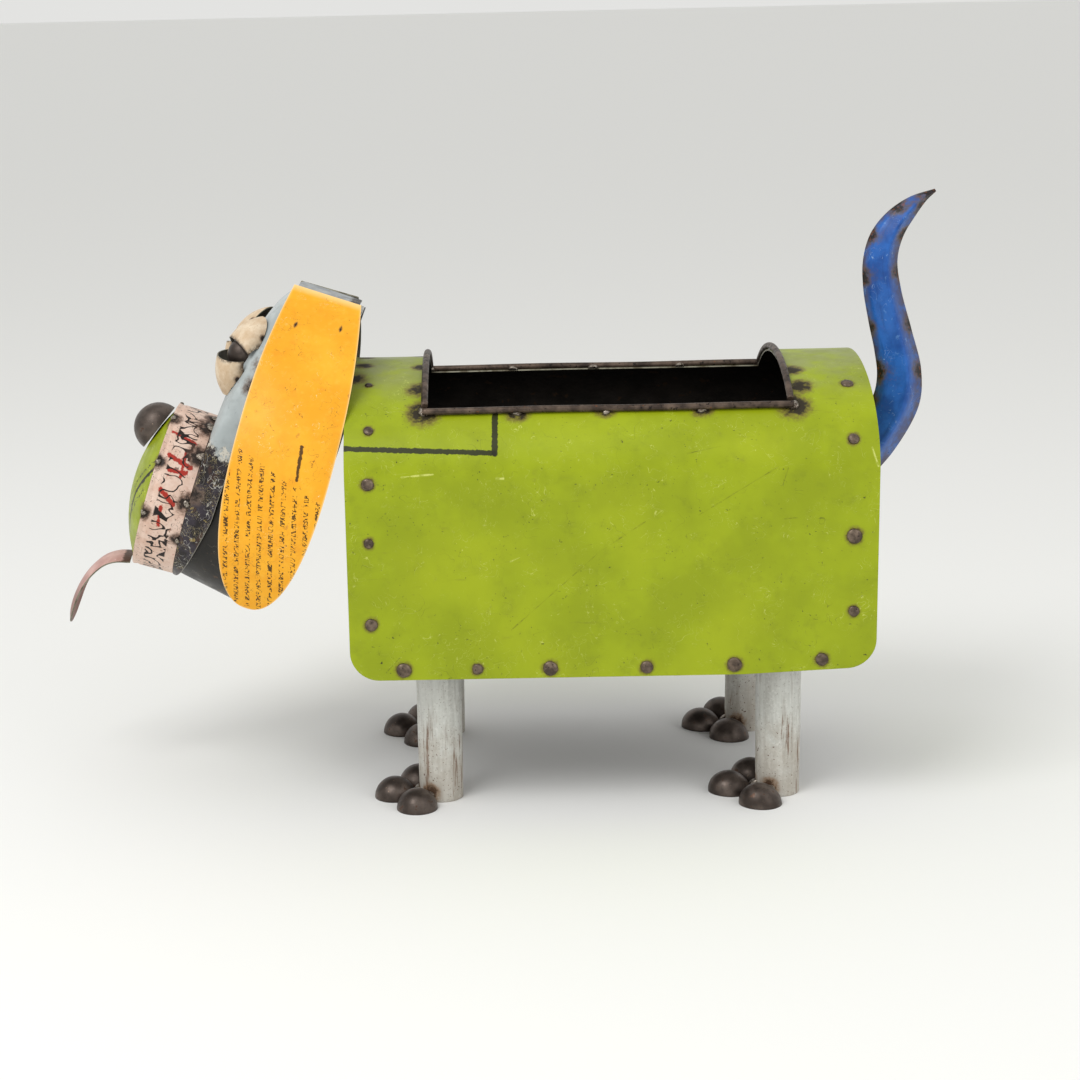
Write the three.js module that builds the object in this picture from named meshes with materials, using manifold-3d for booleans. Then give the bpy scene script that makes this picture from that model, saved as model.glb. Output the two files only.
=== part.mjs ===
// A dog planter welded up from reclaimed sheet metal, as a three.js scene graph.
// Millimetres, +Z up. The dog faces -X and stands on its twelve toe caps and four pipe ends.
// The body is an inverted U of sheet with a planting trough let into its back. The head is a
// beaten hood behind a can-like snout, with flap ears, leaf-shaped eyelids and a curled tongue.

import * as THREE from 'three';
import { mergeVertices } from 'three/addons/utils/BufferGeometryUtils.js';
import Module from 'manifold-3d';

const wasm = await Module();
wasm.setup();

const DEG = Math.PI / 180;

// ---- driving dimensions -------------------------------------------------------------------
const SHEET = 1.5; // wall of every sheet piece
const GAP = 0.3; // room left between pieces that touch
const TRIM_GAP = 0.5; // left where a piece is cut to fit a curved one

const BODY_LENGTH = 480;
const BODY_HALF_WIDTH = 155;
const BODY_BOTTOM = 133; // lower edge of the side walls
const BODY_SPRING = 320; // height where the back starts to arch over
const BODY_TOP = 405;
const BODY_CORNER = 27; // radius of the rounded lower corners
const REAR_RISE = 4; // how far the lower edge climbs towards the tail
const REAR_RISE_START = 120; // where it starts to climb

const MOUTH_FRONT = -166; // opening in the back
const MOUTH_REAR = 163;
const MOUTH_HALF_WIDTH = 119;
const ROD_RADIUS = 3.2; // steel rod that edges the opening

const END_RECESS = 16; // the end panels sit this far inside the body
const END_FLANGE = 20;
const FLOOR_TOP = 151;
const FLOOR_FLANGE = 15;
const FLOOR_TRIM = 2.5; // the floor's flange is cut back this far above the body's lower edge

const LEG_RADIUS = 21.2; // 42.4 mm pipe
const LEG_WALL = 2.6;
const LEG_HALF_TRACK = 97;
const LEG_FRONT_X = -161;
const LEG_REAR_X = 154.5;
const REAR_LEG_SKEW = 4.2; // the rear legs are welded on a little out of line
const TOE_RADIUS = 19.3;
const TOE_WALL = 2;
const TOE_SPREAD = { front: 57 * DEG, rear: 62 * DEG }; // angle between neighbouring toes
const MIDDLE_TOE_GAP = 3.5; // the middle toe stands off the pipe

const HEAD_TILT = 18 * DEG;
const HEAD_WELD = [-BODY_LENGTH / 2 - GAP, BODY_TOP]; // where the head's back meets the body
const SNOUT_DROP = 169; // snout axis below that weld
const SNOUT_RADIUS = 80.5;
const BAND_REAR = 105.5; // the snout band, measured forwards from the head's back
const BAND_FRONT = 146.5;
const CAP_RISE = 24;
const NOSE_RADIUS = 24.2;
const NOSE_OFFSET = 53.4; // nose centre above the snout axis
const HEAD_TOP = 54.5;
const BACK_RAKE = 0.07; // how far the head's back runs forwards for each millimetre down

const EYE_OFFSET = 42;
const EYE_FORWARD = 97;
const EYE_HEIGHT = -16;
const EYE_RADIUS = 13;
const EYE_YAW = 27 * DEG; // each eye looks outwards
const BROW_LEAN = 12 * DEG; // the forehead's lean at the eyes

const EAR_LENGTH = 283;
const EAR_TOP = { near: 60.5, far: 55 };
const EAR_CENTRE = { near: 36.8, far: 38.8 }; // forwards from the head's back
const EAR_LEAN = 0.035; // the centre line drifts back on its way down
const EAR_ROOT = 40; // half the distance between the ears at the top
const EAR_FLARE = 1.15; // outward slope at the top
const EAR_BEND = 0.0028; // how fast the ear bends back down
const EAR_TWIST = 0.1; // the rear edge stands out further

// ---- sheet and solid makers ---------------------------------------------------------------
const v3 = (x, y, z) => new THREE.Vector3(x, y, z);

function closedGeometry(points, triangles) {
  const geometry = new THREE.BufferGeometry();
  const numbers = points.flatMap((p) => [p.x, p.y, p.z]);
  geometry.setAttribute('position', new THREE.Float32BufferAttribute(numbers, 3));
  geometry.setIndex(triangles);
  return geometry;
}

// A sheet between two surfaces over the unit square: outer(u, v) and inner(u, v).
// With wrap set, u = 1 is the same line as u = 0, so the sheet is a closed ring.
function sheetBetween(outer, inner, columns, rows, wrap = false) {
  const across = wrap ? columns : columns + 1;
  const points = [];
  for (const surface of [outer, inner]) {
    for (let i = 0; i < across; i += 1) {
      for (let j = 0; j <= rows; j += 1) points.push(surface(i / columns, j / rows));
    }
  }
  const layer = across * (rows + 1);
  const at = (i, j, side) => side * layer + (i % across) * (rows + 1) + j;
  const triangles = [];
  const quad = (a, b, c, d) => triangles.push(a, b, c, a, c, d);
  for (let i = 0; i < columns; i += 1) {
    for (let j = 0; j < rows; j += 1) {
      quad(at(i, j, 0), at(i + 1, j, 0), at(i + 1, j + 1, 0), at(i, j + 1, 0));
      quad(at(i, j, 1), at(i, j + 1, 1), at(i + 1, j + 1, 1), at(i + 1, j, 1));
    }
    quad(at(i + 1, 0, 0), at(i, 0, 0), at(i, 0, 1), at(i + 1, 0, 1));
    quad(at(i, rows, 0), at(i + 1, rows, 0), at(i + 1, rows, 1), at(i, rows, 1));
  }
  if (!wrap) {
    for (let j = 0; j < rows; j += 1) {
      quad(at(0, j, 0), at(0, j + 1, 0), at(0, j + 1, 1), at(0, j, 1));
      quad(at(columns, j + 1, 0), at(columns, j, 0), at(columns, j, 1), at(columns, j + 1, 1));
    }
  }
  return closedGeometry(points, triangles);
}

// A sheet of even thickness under an outer surface whose normal is du x dv.
function sheet(outer, columns, rows, thickness = SHEET, wrap = false) {
  const inner = (u, v) => {
    const du = 1 / columns;
    const dv = 1 / rows;
    const before = wrap ? (u - du + 1) % 1 : Math.max(u - du, 0);
    const after = wrap ? (u + du) % 1 : Math.min(u + du, 1);
    const alongU = outer(after, v).sub(outer(before, v));
    const alongV = outer(u, Math.min(v + dv, 1)).sub(outer(u, Math.max(v - dv, 0)));
    return outer(u, v).addScaledVector(alongU.cross(alongV).normalize(), -thickness);
  };
  return sheetBetween(outer, inner, columns, rows, wrap);
}

function toSolid(geometry) {
  const bare = geometry.clone();
  bare.deleteAttribute('normal');
  bare.deleteAttribute('uv');
  const merged = mergeVertices(bare, 1e-4);
  return new wasm.Manifold(new wasm.Mesh({
    numProp: 3,
    vertProperties: Float32Array.from(merged.attributes.position.array),
    triVerts: Uint32Array.from(merged.index.array),
  }));
}

function toGeometry(solid) {
  const mesh = solid.getMesh();
  const geometry = new THREE.BufferGeometry();
  geometry.setAttribute('position', new THREE.BufferAttribute(mesh.vertProperties, 3));
  geometry.setIndex(new THREE.BufferAttribute(mesh.triVerts, 1));
  return geometry;
}

// A flat outline in the YZ plane, extruded along X from x0 to x1.
function alongX(shape, x0, x1) {
  const geometry = new THREE.ExtrudeGeometry(shape, { depth: x1 - x0, bevelEnabled: false, curveSegments: 1 });
  geometry.applyMatrix4(new THREE.Matrix4().makeBasis(v3(0, 1, 0), v3(0, 0, 1), v3(1, 0, 0)));
  geometry.translate(x0, 0, 0);
  return geometry;
}

// A hemisphere-like pressed cap, open below: crown at the given rise, rim on the plane z = 0.
function pressedCap(rimRadius, rise, wall, segments, outerSteps, innerSteps) {
  const arc = (radius, height, steps) => {
    const sphere = (radius * radius + height * height) / (2 * height);
    const sweep = height < radius ? Math.asin(radius / sphere) : Math.PI / 2;
    return Array.from({ length: steps + 1 }, (_, i) => {
      const angle = (sweep * i) / steps;
      return new THREE.Vector2(sphere * Math.sin(angle), sphere * Math.cos(angle) - sphere + height);
    });
  };
  const profile = [
    ...arc(rimRadius, rise, outerSteps).reverse(),
    ...arc(rimRadius - wall, rise - wall, innerSteps),
  ];
  profile[outerSteps].x = 0;
  profile[outerSteps + 1].x = 0;
  profile[0].y = 0;
  profile[profile.length - 1].y = 0;
  // The ring starts at the inner crown, so that the lathe's open ends both lie on the axis.
  const ring = [...profile.slice(outerSteps + 1), ...profile.slice(0, outerSteps + 1)];
  return new THREE.LatheGeometry(ring, segments)
    .rotateX(Math.PI / 2);
}

// ---- paints and bare metals ---------------------------------------------------------------
const metal = (color, roughness, metalness) => new THREE.MeshStandardMaterial({ color, roughness, metalness });
const paints = {
  lime: metal(0x9fae1c, 0.42, 0.1),
  trough: metal(0x3a332c, 0.7, 0.3),
  rod: metal(0x4a4440, 0.5, 0.8),
  pipe: metal(0xbdbbb2, 0.6, 0.3),
  steel: metal(0x5a504a, 0.38, 0.85),
  print: metal(0xdccdbd, 0.5, 0.1),
  face: metal(0xb4b9b7, 0.45, 0.3),
  jaw: metal(0x2e2b29, 0.45, 0.3),
  crown: metal(0x74757c, 0.4, 0.4),
  yellow: metal(0xf7b42c, 0.4, 0.1),
  cream: metal(0xcdb498, 0.55, 0.1),
  tongue: metal(0xaf827d, 0.5, 0.2),
  blue: metal(0x2156a6, 0.4, 0.2),
};

const dog = new THREE.Group();
const head = new THREE.Group();
head.position.set(HEAD_WELD[0], 0, HEAD_WELD[1]);
head.rotation.y = HEAD_TILT;
dog.add(head);

function add(parent, name, geometry, material, position = [0, 0, 0]) {
  const mesh = new THREE.Mesh(geometry, material);
  mesh.name = name;
  mesh.position.set(...position);
  parent.add(mesh);
  return mesh;
}

const SIDES = [['near', -1], ['far', 1]];

// ---- body: arched sheet, its ends and its floor -------------------------------------------
function archPoints(inset, steps) {
  const reach = BODY_HALF_WIDTH - inset;
  const rise = BODY_TOP - BODY_SPRING - inset;
  return Array.from({ length: steps + 1 }, (_, i) => {
    const angle = (Math.PI * i) / steps;
    return new THREE.Vector2(reach * Math.cos(angle), BODY_SPRING + rise * Math.sin(angle));
  });
}

// The end outline of the body drawn in by inset, closed along a flat lower edge.
function bodyOutline(inset, bottom, steps = 28) {
  const reach = BODY_HALF_WIDTH - inset;
  return new THREE.Shape([
    new THREE.Vector2(-reach, bottom),
    new THREE.Vector2(reach, bottom),
    ...archPoints(inset, steps),
  ]);
}

const bodyEnd = BODY_LENGTH / 2;
const outerBody = toSolid(alongX(bodyOutline(0, 0), -bodyEnd, bodyEnd));
const innerBody = toSolid(alongX(bodyOutline(SHEET, -1), -bodyEnd - 1, bodyEnd + 1));

// Side view of the body: rounded lower corners, and a lower edge that climbs at the tail.
const profile = new THREE.Shape();
profile.moveTo(-bodyEnd, BODY_TOP + 1);
profile.lineTo(-bodyEnd, BODY_BOTTOM + BODY_CORNER);
const frontCorner = BODY_BOTTOM + BODY_CORNER;
profile.absarc(-bodyEnd + BODY_CORNER, frontCorner, BODY_CORNER, Math.PI, 1.5 * Math.PI, false);
profile.lineTo(REAR_RISE_START, BODY_BOTTOM);
profile.lineTo(bodyEnd - BODY_CORNER, BODY_BOTTOM + REAR_RISE);
const rearCorner = BODY_BOTTOM + REAR_RISE + BODY_CORNER;
profile.absarc(bodyEnd - BODY_CORNER, rearCorner, BODY_CORNER, -0.5 * Math.PI, 0, false);
profile.lineTo(bodyEnd, BODY_TOP + 1);
const profileSlab = new THREE.ExtrudeGeometry(profile, {
  depth: 2 * BODY_HALF_WIDTH + 2,
  bevelEnabled: false,
  curveSegments: 7,
});
profileSlab.rotateX(Math.PI / 2);
profileSlab.translate(0, BODY_HALF_WIDTH + 1, 0);

const mouth = new THREE.BoxGeometry(MOUTH_REAR - MOUTH_FRONT, 2 * MOUTH_HALF_WIDTH, 200);
mouth.translate((MOUTH_REAR + MOUTH_FRONT) / 2, 0, BODY_TOP);
const bodySolid = outerBody.subtract(innerBody).intersect(toSolid(profileSlab)).subtract(toSolid(mouth));
add(dog, 'body_shell', toGeometry(bodySolid), paints.lime);

// Each end panel is a tray: a plate with its flange turned in along the inside of the body.
const panelInset = SHEET + GAP;
const panelBottom = FLOOR_TOP + GAP;
for (const [name, direction] of [['front_panel', -1], ['rear_panel', 1]]) {
  const outside = direction * (bodyEnd - END_RECESS);
  const inside = direction * (bodyEnd - END_RECESS - END_FLANGE);
  const plateInside = outside - direction * SHEET;
  const outline = bodyOutline(panelInset, panelBottom);
  const tray = toSolid(alongX(outline, Math.min(outside, inside), Math.max(outside, inside)));
  const hollow = toSolid(alongX(
    bodyOutline(panelInset + SHEET, panelBottom - 1),
    direction > 0 ? inside - 1 : plateInside,
    direction > 0 ? plateInside : inside + 1,
  ));
  add(dog, name, toGeometry(tray.subtract(hollow)), paints.trough);
}

// The floor is a pan turned down along both sides, where it is riveted to the body.
const floorReach = BODY_HALF_WIDTH - SHEET - GAP;
const floorShape = new THREE.Shape([
  new THREE.Vector2(-floorReach, FLOOR_TOP - FLOOR_FLANGE),
  new THREE.Vector2(-floorReach + SHEET, FLOOR_TOP - FLOOR_FLANGE),
  new THREE.Vector2(-floorReach + SHEET, FLOOR_TOP - SHEET),
  new THREE.Vector2(floorReach - SHEET, FLOOR_TOP - SHEET),
  new THREE.Vector2(floorReach - SHEET, FLOOR_TOP - FLOOR_FLANGE),
  new THREE.Vector2(floorReach, FLOOR_TOP - FLOOR_FLANGE),
  new THREE.Vector2(floorReach, FLOOR_TOP),
  new THREE.Vector2(-floorReach, FLOOR_TOP),
]);
const floorEnd = bodyEnd - END_RECESS;
profileSlab.translate(0, 0, FLOOR_TRIM);
const floorSolid = toSolid(alongX(floorShape, -floorEnd, floorEnd)).intersect(toSolid(profileSlab));
add(dog, 'floor_pan', toGeometry(floorSolid), paints.trough);

// ---- rod frame round the planting opening -------------------------------------------------
const rodSection = new THREE.Shape(Array.from({ length: 8 }, (_, i) => {
  const angle = ((i + 0.5) * Math.PI) / 4;
  return new THREE.Vector2(ROD_RADIUS * Math.cos(angle), ROD_RADIUS * Math.sin(angle));
}));
function rod(path, steps) {
  return new THREE.ExtrudeGeometry(rodSection, { steps, extrudePath: path, bevelEnabled: false });
}

// The long rods lie on the cut edges; the short ones bend over the back between them.
const rodStandoff = ROD_RADIUS + GAP;
const edgeAngle = Math.acos(MOUTH_HALF_WIDTH / BODY_HALF_WIDTH);
const longRodY = (BODY_HALF_WIDTH + rodStandoff) * Math.cos(edgeAngle);
const longRodZ = BODY_SPRING + (BODY_TOP - BODY_SPRING + rodStandoff) * Math.sin(edgeAngle);
for (const [side, sign] of SIDES) {
  const path = new THREE.LineCurve3(
    v3(MOUTH_FRONT - ROD_RADIUS, sign * longRodY, longRodZ),
    v3(MOUTH_REAR + ROD_RADIUS, sign * longRodY, longRodZ),
  );
  add(dog, `rim_rod_${side}`, rod(path, 1), paints.rod);
}
class ArchCurve extends THREE.Curve {
  constructor(x, start) {
    super();
    this.x = x;
    this.start = start;
  }

  getPoint(t, target = new THREE.Vector3()) {
    const angle = THREE.MathUtils.lerp(this.start, Math.PI - this.start, t);
    return target.set(
      this.x,
      (BODY_HALF_WIDTH + rodStandoff) * Math.cos(angle),
      BODY_SPRING + (BODY_TOP - BODY_SPRING + rodStandoff) * Math.sin(angle),
    );
  }
}
const archStart = edgeAngle + 0.055; // stops short of the long rods
const archRods = [
  ['rim_rod_front', MOUTH_FRONT - 0.4 * ROD_RADIUS],
  ['rim_rod_rear', MOUTH_REAR + 0.4 * ROD_RADIUS],
];
for (const [name, x] of archRods) {
  add(dog, name, rod(new ArchCurve(x, archStart), 14), paints.rod);
}

// ---- legs and toes ------------------------------------------------------------------------
const legTop = FLOOR_TOP - SHEET - GAP;
const legBore = LEG_RADIUS - LEG_WALL;
const legProfile = [[LEG_RADIUS, 0], [LEG_RADIUS, legTop], [legBore, legTop], [legBore, 0], [LEG_RADIUS, 0]]
  .map(([r, z]) => new THREE.Vector2(r, z));
const toeReach = LEG_RADIUS + TOE_RADIUS + GAP;
for (const [end, row, skew] of [['front', LEG_FRONT_X, 0], ['rear', LEG_REAR_X, REAR_LEG_SKEW]]) {
  for (const [side, sign] of SIDES) {
    const legX = row - sign * skew;
    const legY = sign * LEG_HALF_TRACK;
    const leg = new THREE.LatheGeometry(legProfile, 20).rotateX(Math.PI / 2);
    add(dog, `leg_${end}_${side}`, leg, paints.pipe, [legX, legY, 0]);
    for (const [toe, turn] of [['outer', sign], ['middle', 0], ['inner', -sign]]) {
      const angle = Math.PI - turn * TOE_SPREAD[end];
      const reach = toeReach + (turn ? 0 : MIDDLE_TOE_GAP);
      const dome = pressedCap(TOE_RADIUS, TOE_RADIUS, TOE_WALL, 12, 4, 2);
      add(dog, `toe_${end}_${side}_${toe}`, dome, paints.steel, [
        legX + reach * Math.cos(angle),
        legY + reach * Math.sin(angle),
        0,
      ]);
    }
  }
}

// ---- tail: two folded halves welded along their edges -------------------------------------
// Matching points down the inner and outer edges, root first.
const tailRoot = bodyEnd - END_RECESS + GAP;
const tailInner = [[tailRoot, 322], [243, 340], [258, 360], [262, 380], [259, 405], [253, 432], [247, 466], [246.5, 492],
  [253, 516], [268, 535.5], [289, 549.5], [312, 556.5]];
const tailOuter = [[tailRoot, 243], [252, 275], [281, 309], [303, 352], [304, 386], [294, 424], [283, 463], [279, 491],
  [284, 513], [295, 532], [305, 546], [313.5, 554]];
const tailDepth = [22, 21.5, 20.5, 19.5, 19, 17.5, 16, 15, 13.5, 10.5, 6.5, 1.2];
const planeCurve = (points) => {
  const inPlane = points.map(([x, z]) => v3(x, 0, z));
  return new THREE.CatmullRomCurve3(inPlane, false, 'centripetal');
};
const innerEdge = planeCurve(tailInner);
const outerEdge = planeCurve(tailOuter);
const depthCurve = new THREE.CatmullRomCurve3(tailDepth.map((d, i) => v3(i, d, 0)));
// Section corners from the inner edge to the outer: share of the width, share of the depth.
const tailSection = [[0, 0], [0.16, 0.5], [0.62, 1], [1, 0]];
function tailHalf(sign) {
  const surface = (inset) => (u, v) => {
    const a = innerEdge.getPoint(v);
    const b = outerEdge.getPoint(v);
    const width = a.distanceTo(b);
    const trim = inset ? Math.min(SHEET, 0.28 * width) : 0;
    const depth = depthCurve.getPoint(v).y;
    const [share, drop] = tailSection[Math.round(u * (tailSection.length - 1))];
    const place = THREE.MathUtils.lerp(1.6 * trim, width - 1.6 * trim, share) / width;
    const point = a.lerp(b, place);
    point.y = sign * (GAP / 2 + drop * Math.max(depth - 1.25 * trim, 0.2 * depth));
    return point;
  };
  const [first, second] = sign < 0 ? [0, 1] : [1, 0];
  const along = (inset) => {
    const wall = surface(inset);
    return (u, v) => wall(first + (second - first) * u, v);
  };
  return sheetBetween(along(false), along(true), tailSection.length - 1, 24);
}
for (const [side, sign] of SIDES) add(dog, `tail_${side}`, tailHalf(sign), paints.blue);

// ---- head: everything below is measured from the weld, forwards (-X), across (Y) and up ----
// Stations of the hood: forwards, half width, top height, squareness of the upper half.
const hoodStations = [
  [BAND_REAR + 1, 80.2, SNOUT_RADIUS - SNOUT_DROP - 1.3, 2],
  [105, 80.6, -61, 2.2],
  [98.6, 82, -13, 2.6],
  [87.6, 84, 23, 2.8],
  [76.6, 86, 44.5, 2.7],
  [63.6, 88.5, HEAD_TOP, 2.6],
  [2 + GAP, 96, HEAD_TOP - 2, 2.6],
];
// A point of the hood: angle from the top, distance forwards, drawn in by inset.
// The lower half of each section is round and the upper half squares up into a tall crown.
function hoodPoint(angle, forward, inset = 0) {
  const next = Math.max(1, hoodStations.findIndex((station) => station[0] <= forward));
  const [start, end] = [hoodStations[next - 1], hoodStations[next]];
  const share = (forward - start[0]) / (end[0] - start[0]);
  const [width, top, power] = [1, 2, 3].map((k) => THREE.MathUtils.lerp(start[k], end[k], share));
  const sine = Math.sin(angle);
  const cosine = Math.cos(angle);
  const half = width - inset;
  if (cosine < 0) return v3(-forward, half * sine, half * cosine - SNOUT_DROP);
  const bend = 2 / power;
  const rise = top + SNOUT_DROP - inset;
  return v3(-forward, half * Math.sign(sine) * Math.abs(sine) ** bend, rise * cosine ** bend - SNOUT_DROP);
}
const hoodFront = hoodStations[0][0];
const hoodBack = hoodStations[hoodStations.length - 1][0];
// The hood's back edge rakes forwards on its way down, so its last row is cut on a slant.
const raked = (point) => v3(point.x + BACK_RAKE * (point.z - HEAD_TOP), point.y, point.z);
// Where each row of a sheet lies: closest together over the brow, where the hood turns back.
const faceRows = [hoodFront, 105, 101.5, 98.6, 95, 91.5, 87.6, 82, 76.6, 63.6, hoodBack];
const pickRow = (rows, v) => rows[Math.round(v * (rows.length - 1))];
const hoodRow = (angle, forward, inset) => {
  const point = hoodPoint(angle, forward, inset);
  return forward === hoodBack ? raked(point) : point;
};

// The face sheet wraps forehead and cheeks; its lower edge sweeps up from under the snout.
const cheekEdge = (forward) => Math.max(84, 92 + 3.2 * (forward - 82)) * DEG;
const faceOuter = (u, v) => {
  const forward = pickRow(faceRows, v);
  return hoodRow((1 - 2 * u) * cheekEdge(forward), forward);
};
add(head, 'face_sheet', sheet(faceOuter, 26, faceRows.length - 1), paints.face);

// The jaw closes the hood below, lapped inside the face sheet.
const JAW_TOP = 80 * DEG;
const JAW_INSET = 2 * SHEET + 1.7;
const jawRows = [hoodFront, 92, 76.6, hoodBack];
const jawOuter = (u, v) => {
  const angle = Math.PI + (1 - 2 * u) * (Math.PI - JAW_TOP);
  return hoodRow(angle, pickRow(jawRows, v), JAW_INSET);
};
add(head, 'jaw_sheet', sheet(jawOuter, 20, jawRows.length - 1), paints.jaw);

const backOutline = Array.from({ length: 36 }, (_, i) => {
  const angle = -(i * 2 * Math.PI) / 36;
  const point = hoodPoint(angle, hoodBack, JAW_INSET * Math.max(0, -Math.cos(angle)));
  return new THREE.Vector2(point.y, point.z);
});
const backPlate = alongX(new THREE.Shape(backOutline), -SHEET - GAP / 2, -GAP / 2);
backPlate.applyMatrix4(new THREE.Matrix4().set(
  1, 0, BACK_RAKE, -BACK_RAKE * HEAD_TOP,
  0, 1, 0, 0,
  0, 0, 1, 0,
  0, 0, 0, 1,
));
add(head, 'head_back', backPlate, paints.jaw);

// The hood as a block, a little oversize: pieces fixed to the forehead are trimmed to it.
function hoodBlock() {
  const columns = 40;
  const points = [];
  for (const forward of faceRows) {
    for (let i = 0; i < columns; i += 1) {
      points.push(hoodPoint((-2 * Math.PI * i) / columns, forward, -TRIM_GAP));
    }
  }
  const triangles = [];
  for (let j = 0; j < faceRows.length - 1; j += 1) {
    for (let i = 0; i < columns; i += 1) {
      const a = j * columns + i;
      const b = j * columns + ((i + 1) % columns);
      triangles.push(a, b, b + columns, a, b + columns, a + columns);
    }
  }
  for (const [row, turn] of [[0, -1], [faceRows.length - 1, 1]]) {
    const centre = points.push(v3(-faceRows[row], 0, -SNOUT_DROP)) - 1;
    for (let i = 0; i < columns; i += 1) {
      const rim = [row * columns + i, row * columns + ((i + 1) % columns)];
      triangles.push(centre, rim[turn > 0 ? 0 : 1], rim[turn > 0 ? 1 : 0]);
    }
  }
  return toSolid(closedGeometry(points, triangles));
}
const hood = hoodBlock();

// The crown strap bridges the top, its front lip rolled down; the ears hang from its ends.
const STRAP_TOP = 59;
const STRAP_FRONT = 63;
const STRAP_REAR = 6;
const STRAP_LIP = 4;
const STRAP_LIP_SHARE = 0.3; // share of the strap's rows that make up the lip
const STRAP_SLOPE = 0.03; // it falls a little towards the back
const STRAP_FALL = 5; // and bends down to the far ear
const strapOuter = (u, v) => {
  const turn = (1 - Math.min(1, u / STRAP_LIP_SHARE)) * 0.5 * Math.PI;
  const back = Math.max(0, (u - STRAP_LIP_SHARE) / (1 - STRAP_LIP_SHARE));
  const flat = THREE.MathUtils.lerp(STRAP_FRONT, STRAP_REAR, back);
  const end = EAR_ROOT - 0.4 - EAR_TWIST * (flat - EAR_CENTRE.near);
  const side = 2 * v - 1;
  const crown = STRAP_TOP - STRAP_FALL * Math.max(0, side) ** 2 - STRAP_SLOPE * (STRAP_FRONT - flat);
  const drop = STRAP_LIP * (1 - Math.cos(turn));
  return v3(-(flat + STRAP_LIP * Math.sin(turn)), end * side, crown - drop);
};
add(head, 'crown_strap', sheet(strapOuter, 6, 8), paints.crown);

// ---- snout: can-like band, domed cap and nose ---------------------------------------------
const bandOuter = (u, v) => {
  const angle = -2 * Math.PI * u;
  const radius = THREE.MathUtils.lerp(SNOUT_RADIUS, SNOUT_RADIUS - 1, v);
  return v3(
    -THREE.MathUtils.lerp(BAND_FRONT, BAND_REAR + 1 + GAP, v),
    radius * Math.sin(angle),
    radius * Math.cos(angle) - SNOUT_DROP,
  );
};
add(head, 'snout_band', sheet(bandOuter, 36, 1, SHEET, true), paints.print);

const capRadius = SNOUT_RADIUS - SHEET - GAP;
const capBase = BAND_FRONT - 2;
const cap = pressedCap(capRadius, CAP_RISE, SHEET, 36, 3, 2).rotateY(-Math.PI / 2);
add(head, 'snout_cap', cap, paints.lime, [-capBase, 0, -SNOUT_DROP]);

const capSphere = (capRadius * capRadius + CAP_RISE * CAP_RISE) / (2 * CAP_RISE);
const noseLean = Math.asin(NOSE_OFFSET / capSphere);
const noseRest = Math.sqrt(capSphere ** 2 - NOSE_OFFSET ** 2) - capSphere + CAP_RISE;
const nose = pressedCap(NOSE_RADIUS, NOSE_RADIUS, 2, 18, 5, 3);
nose.rotateY(-Math.PI / 2 + noseLean);
add(head, 'nose', nose, paints.steel, [
  -(capBase + noseRest + TRIM_GAP * Math.cos(noseLean)),
  0,
  NOSE_OFFSET - SNOUT_DROP + TRIM_GAP * Math.sin(noseLean),
]);

// ---- eyes: a half ball between two leaf-shaped lids, each trimmed to the forehead ----------
// Lid crowns, as (up the forehead, out from it): the edge on the forehead and the free edge.
const LID_HALF_LENGTH = 23;
const LID_SHEET = 1.2;
const lids = [['upper', [40, -2], [9.5, 17]], ['lower', [-42, 0], [-12, 21]]];
for (const [side, sign] of SIDES) {
  const socket = new THREE.Matrix4().makeTranslation(-EYE_FORWARD, sign * EYE_OFFSET, EYE_HEIGHT)
    .multiply(new THREE.Matrix4().makeRotationZ(-sign * EYE_YAW))
    .multiply(new THREE.Matrix4().makeRotationY(BROW_LEAN));
  const onForehead = (geometry) => toGeometry(toSolid(geometry.applyMatrix4(socket)).subtract(hood));
  const ball = pressedCap(EYE_RADIUS, EYE_RADIUS, TOE_WALL, 14, 4, 3).rotateY(-Math.PI / 2);
  add(head, `eyeball_${side}`, onForehead(ball), paints.steel);
  for (const [name, rear, free] of lids) {
    const outward = name === 'upper' ? 1 : -1;
    const lidOuter = (u, v) => {
      const swing = (u - 0.5) * 2 * 80 * DEG;
      const reach = Math.cos(swing) ** 0.65;
      const w = outward > 0 ? v : 1 - v;
      const bulge = 16 * w * (1 - w) * reach;
      const up = THREE.MathUtils.lerp(rear[0], free[0], w) * reach + outward * 0.64 * bulge;
      const out = THREE.MathUtils.lerp(rear[1], free[1], w) * reach + 0.77 * bulge;
      return v3(-out, LID_HALF_LENGTH * Math.sin(swing), up);
    };
    add(head, `lid_${name}_${side}`, onForehead(sheet(lidOuter, 8, 3, LID_SHEET)), paints.cream);
  }
}

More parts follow.
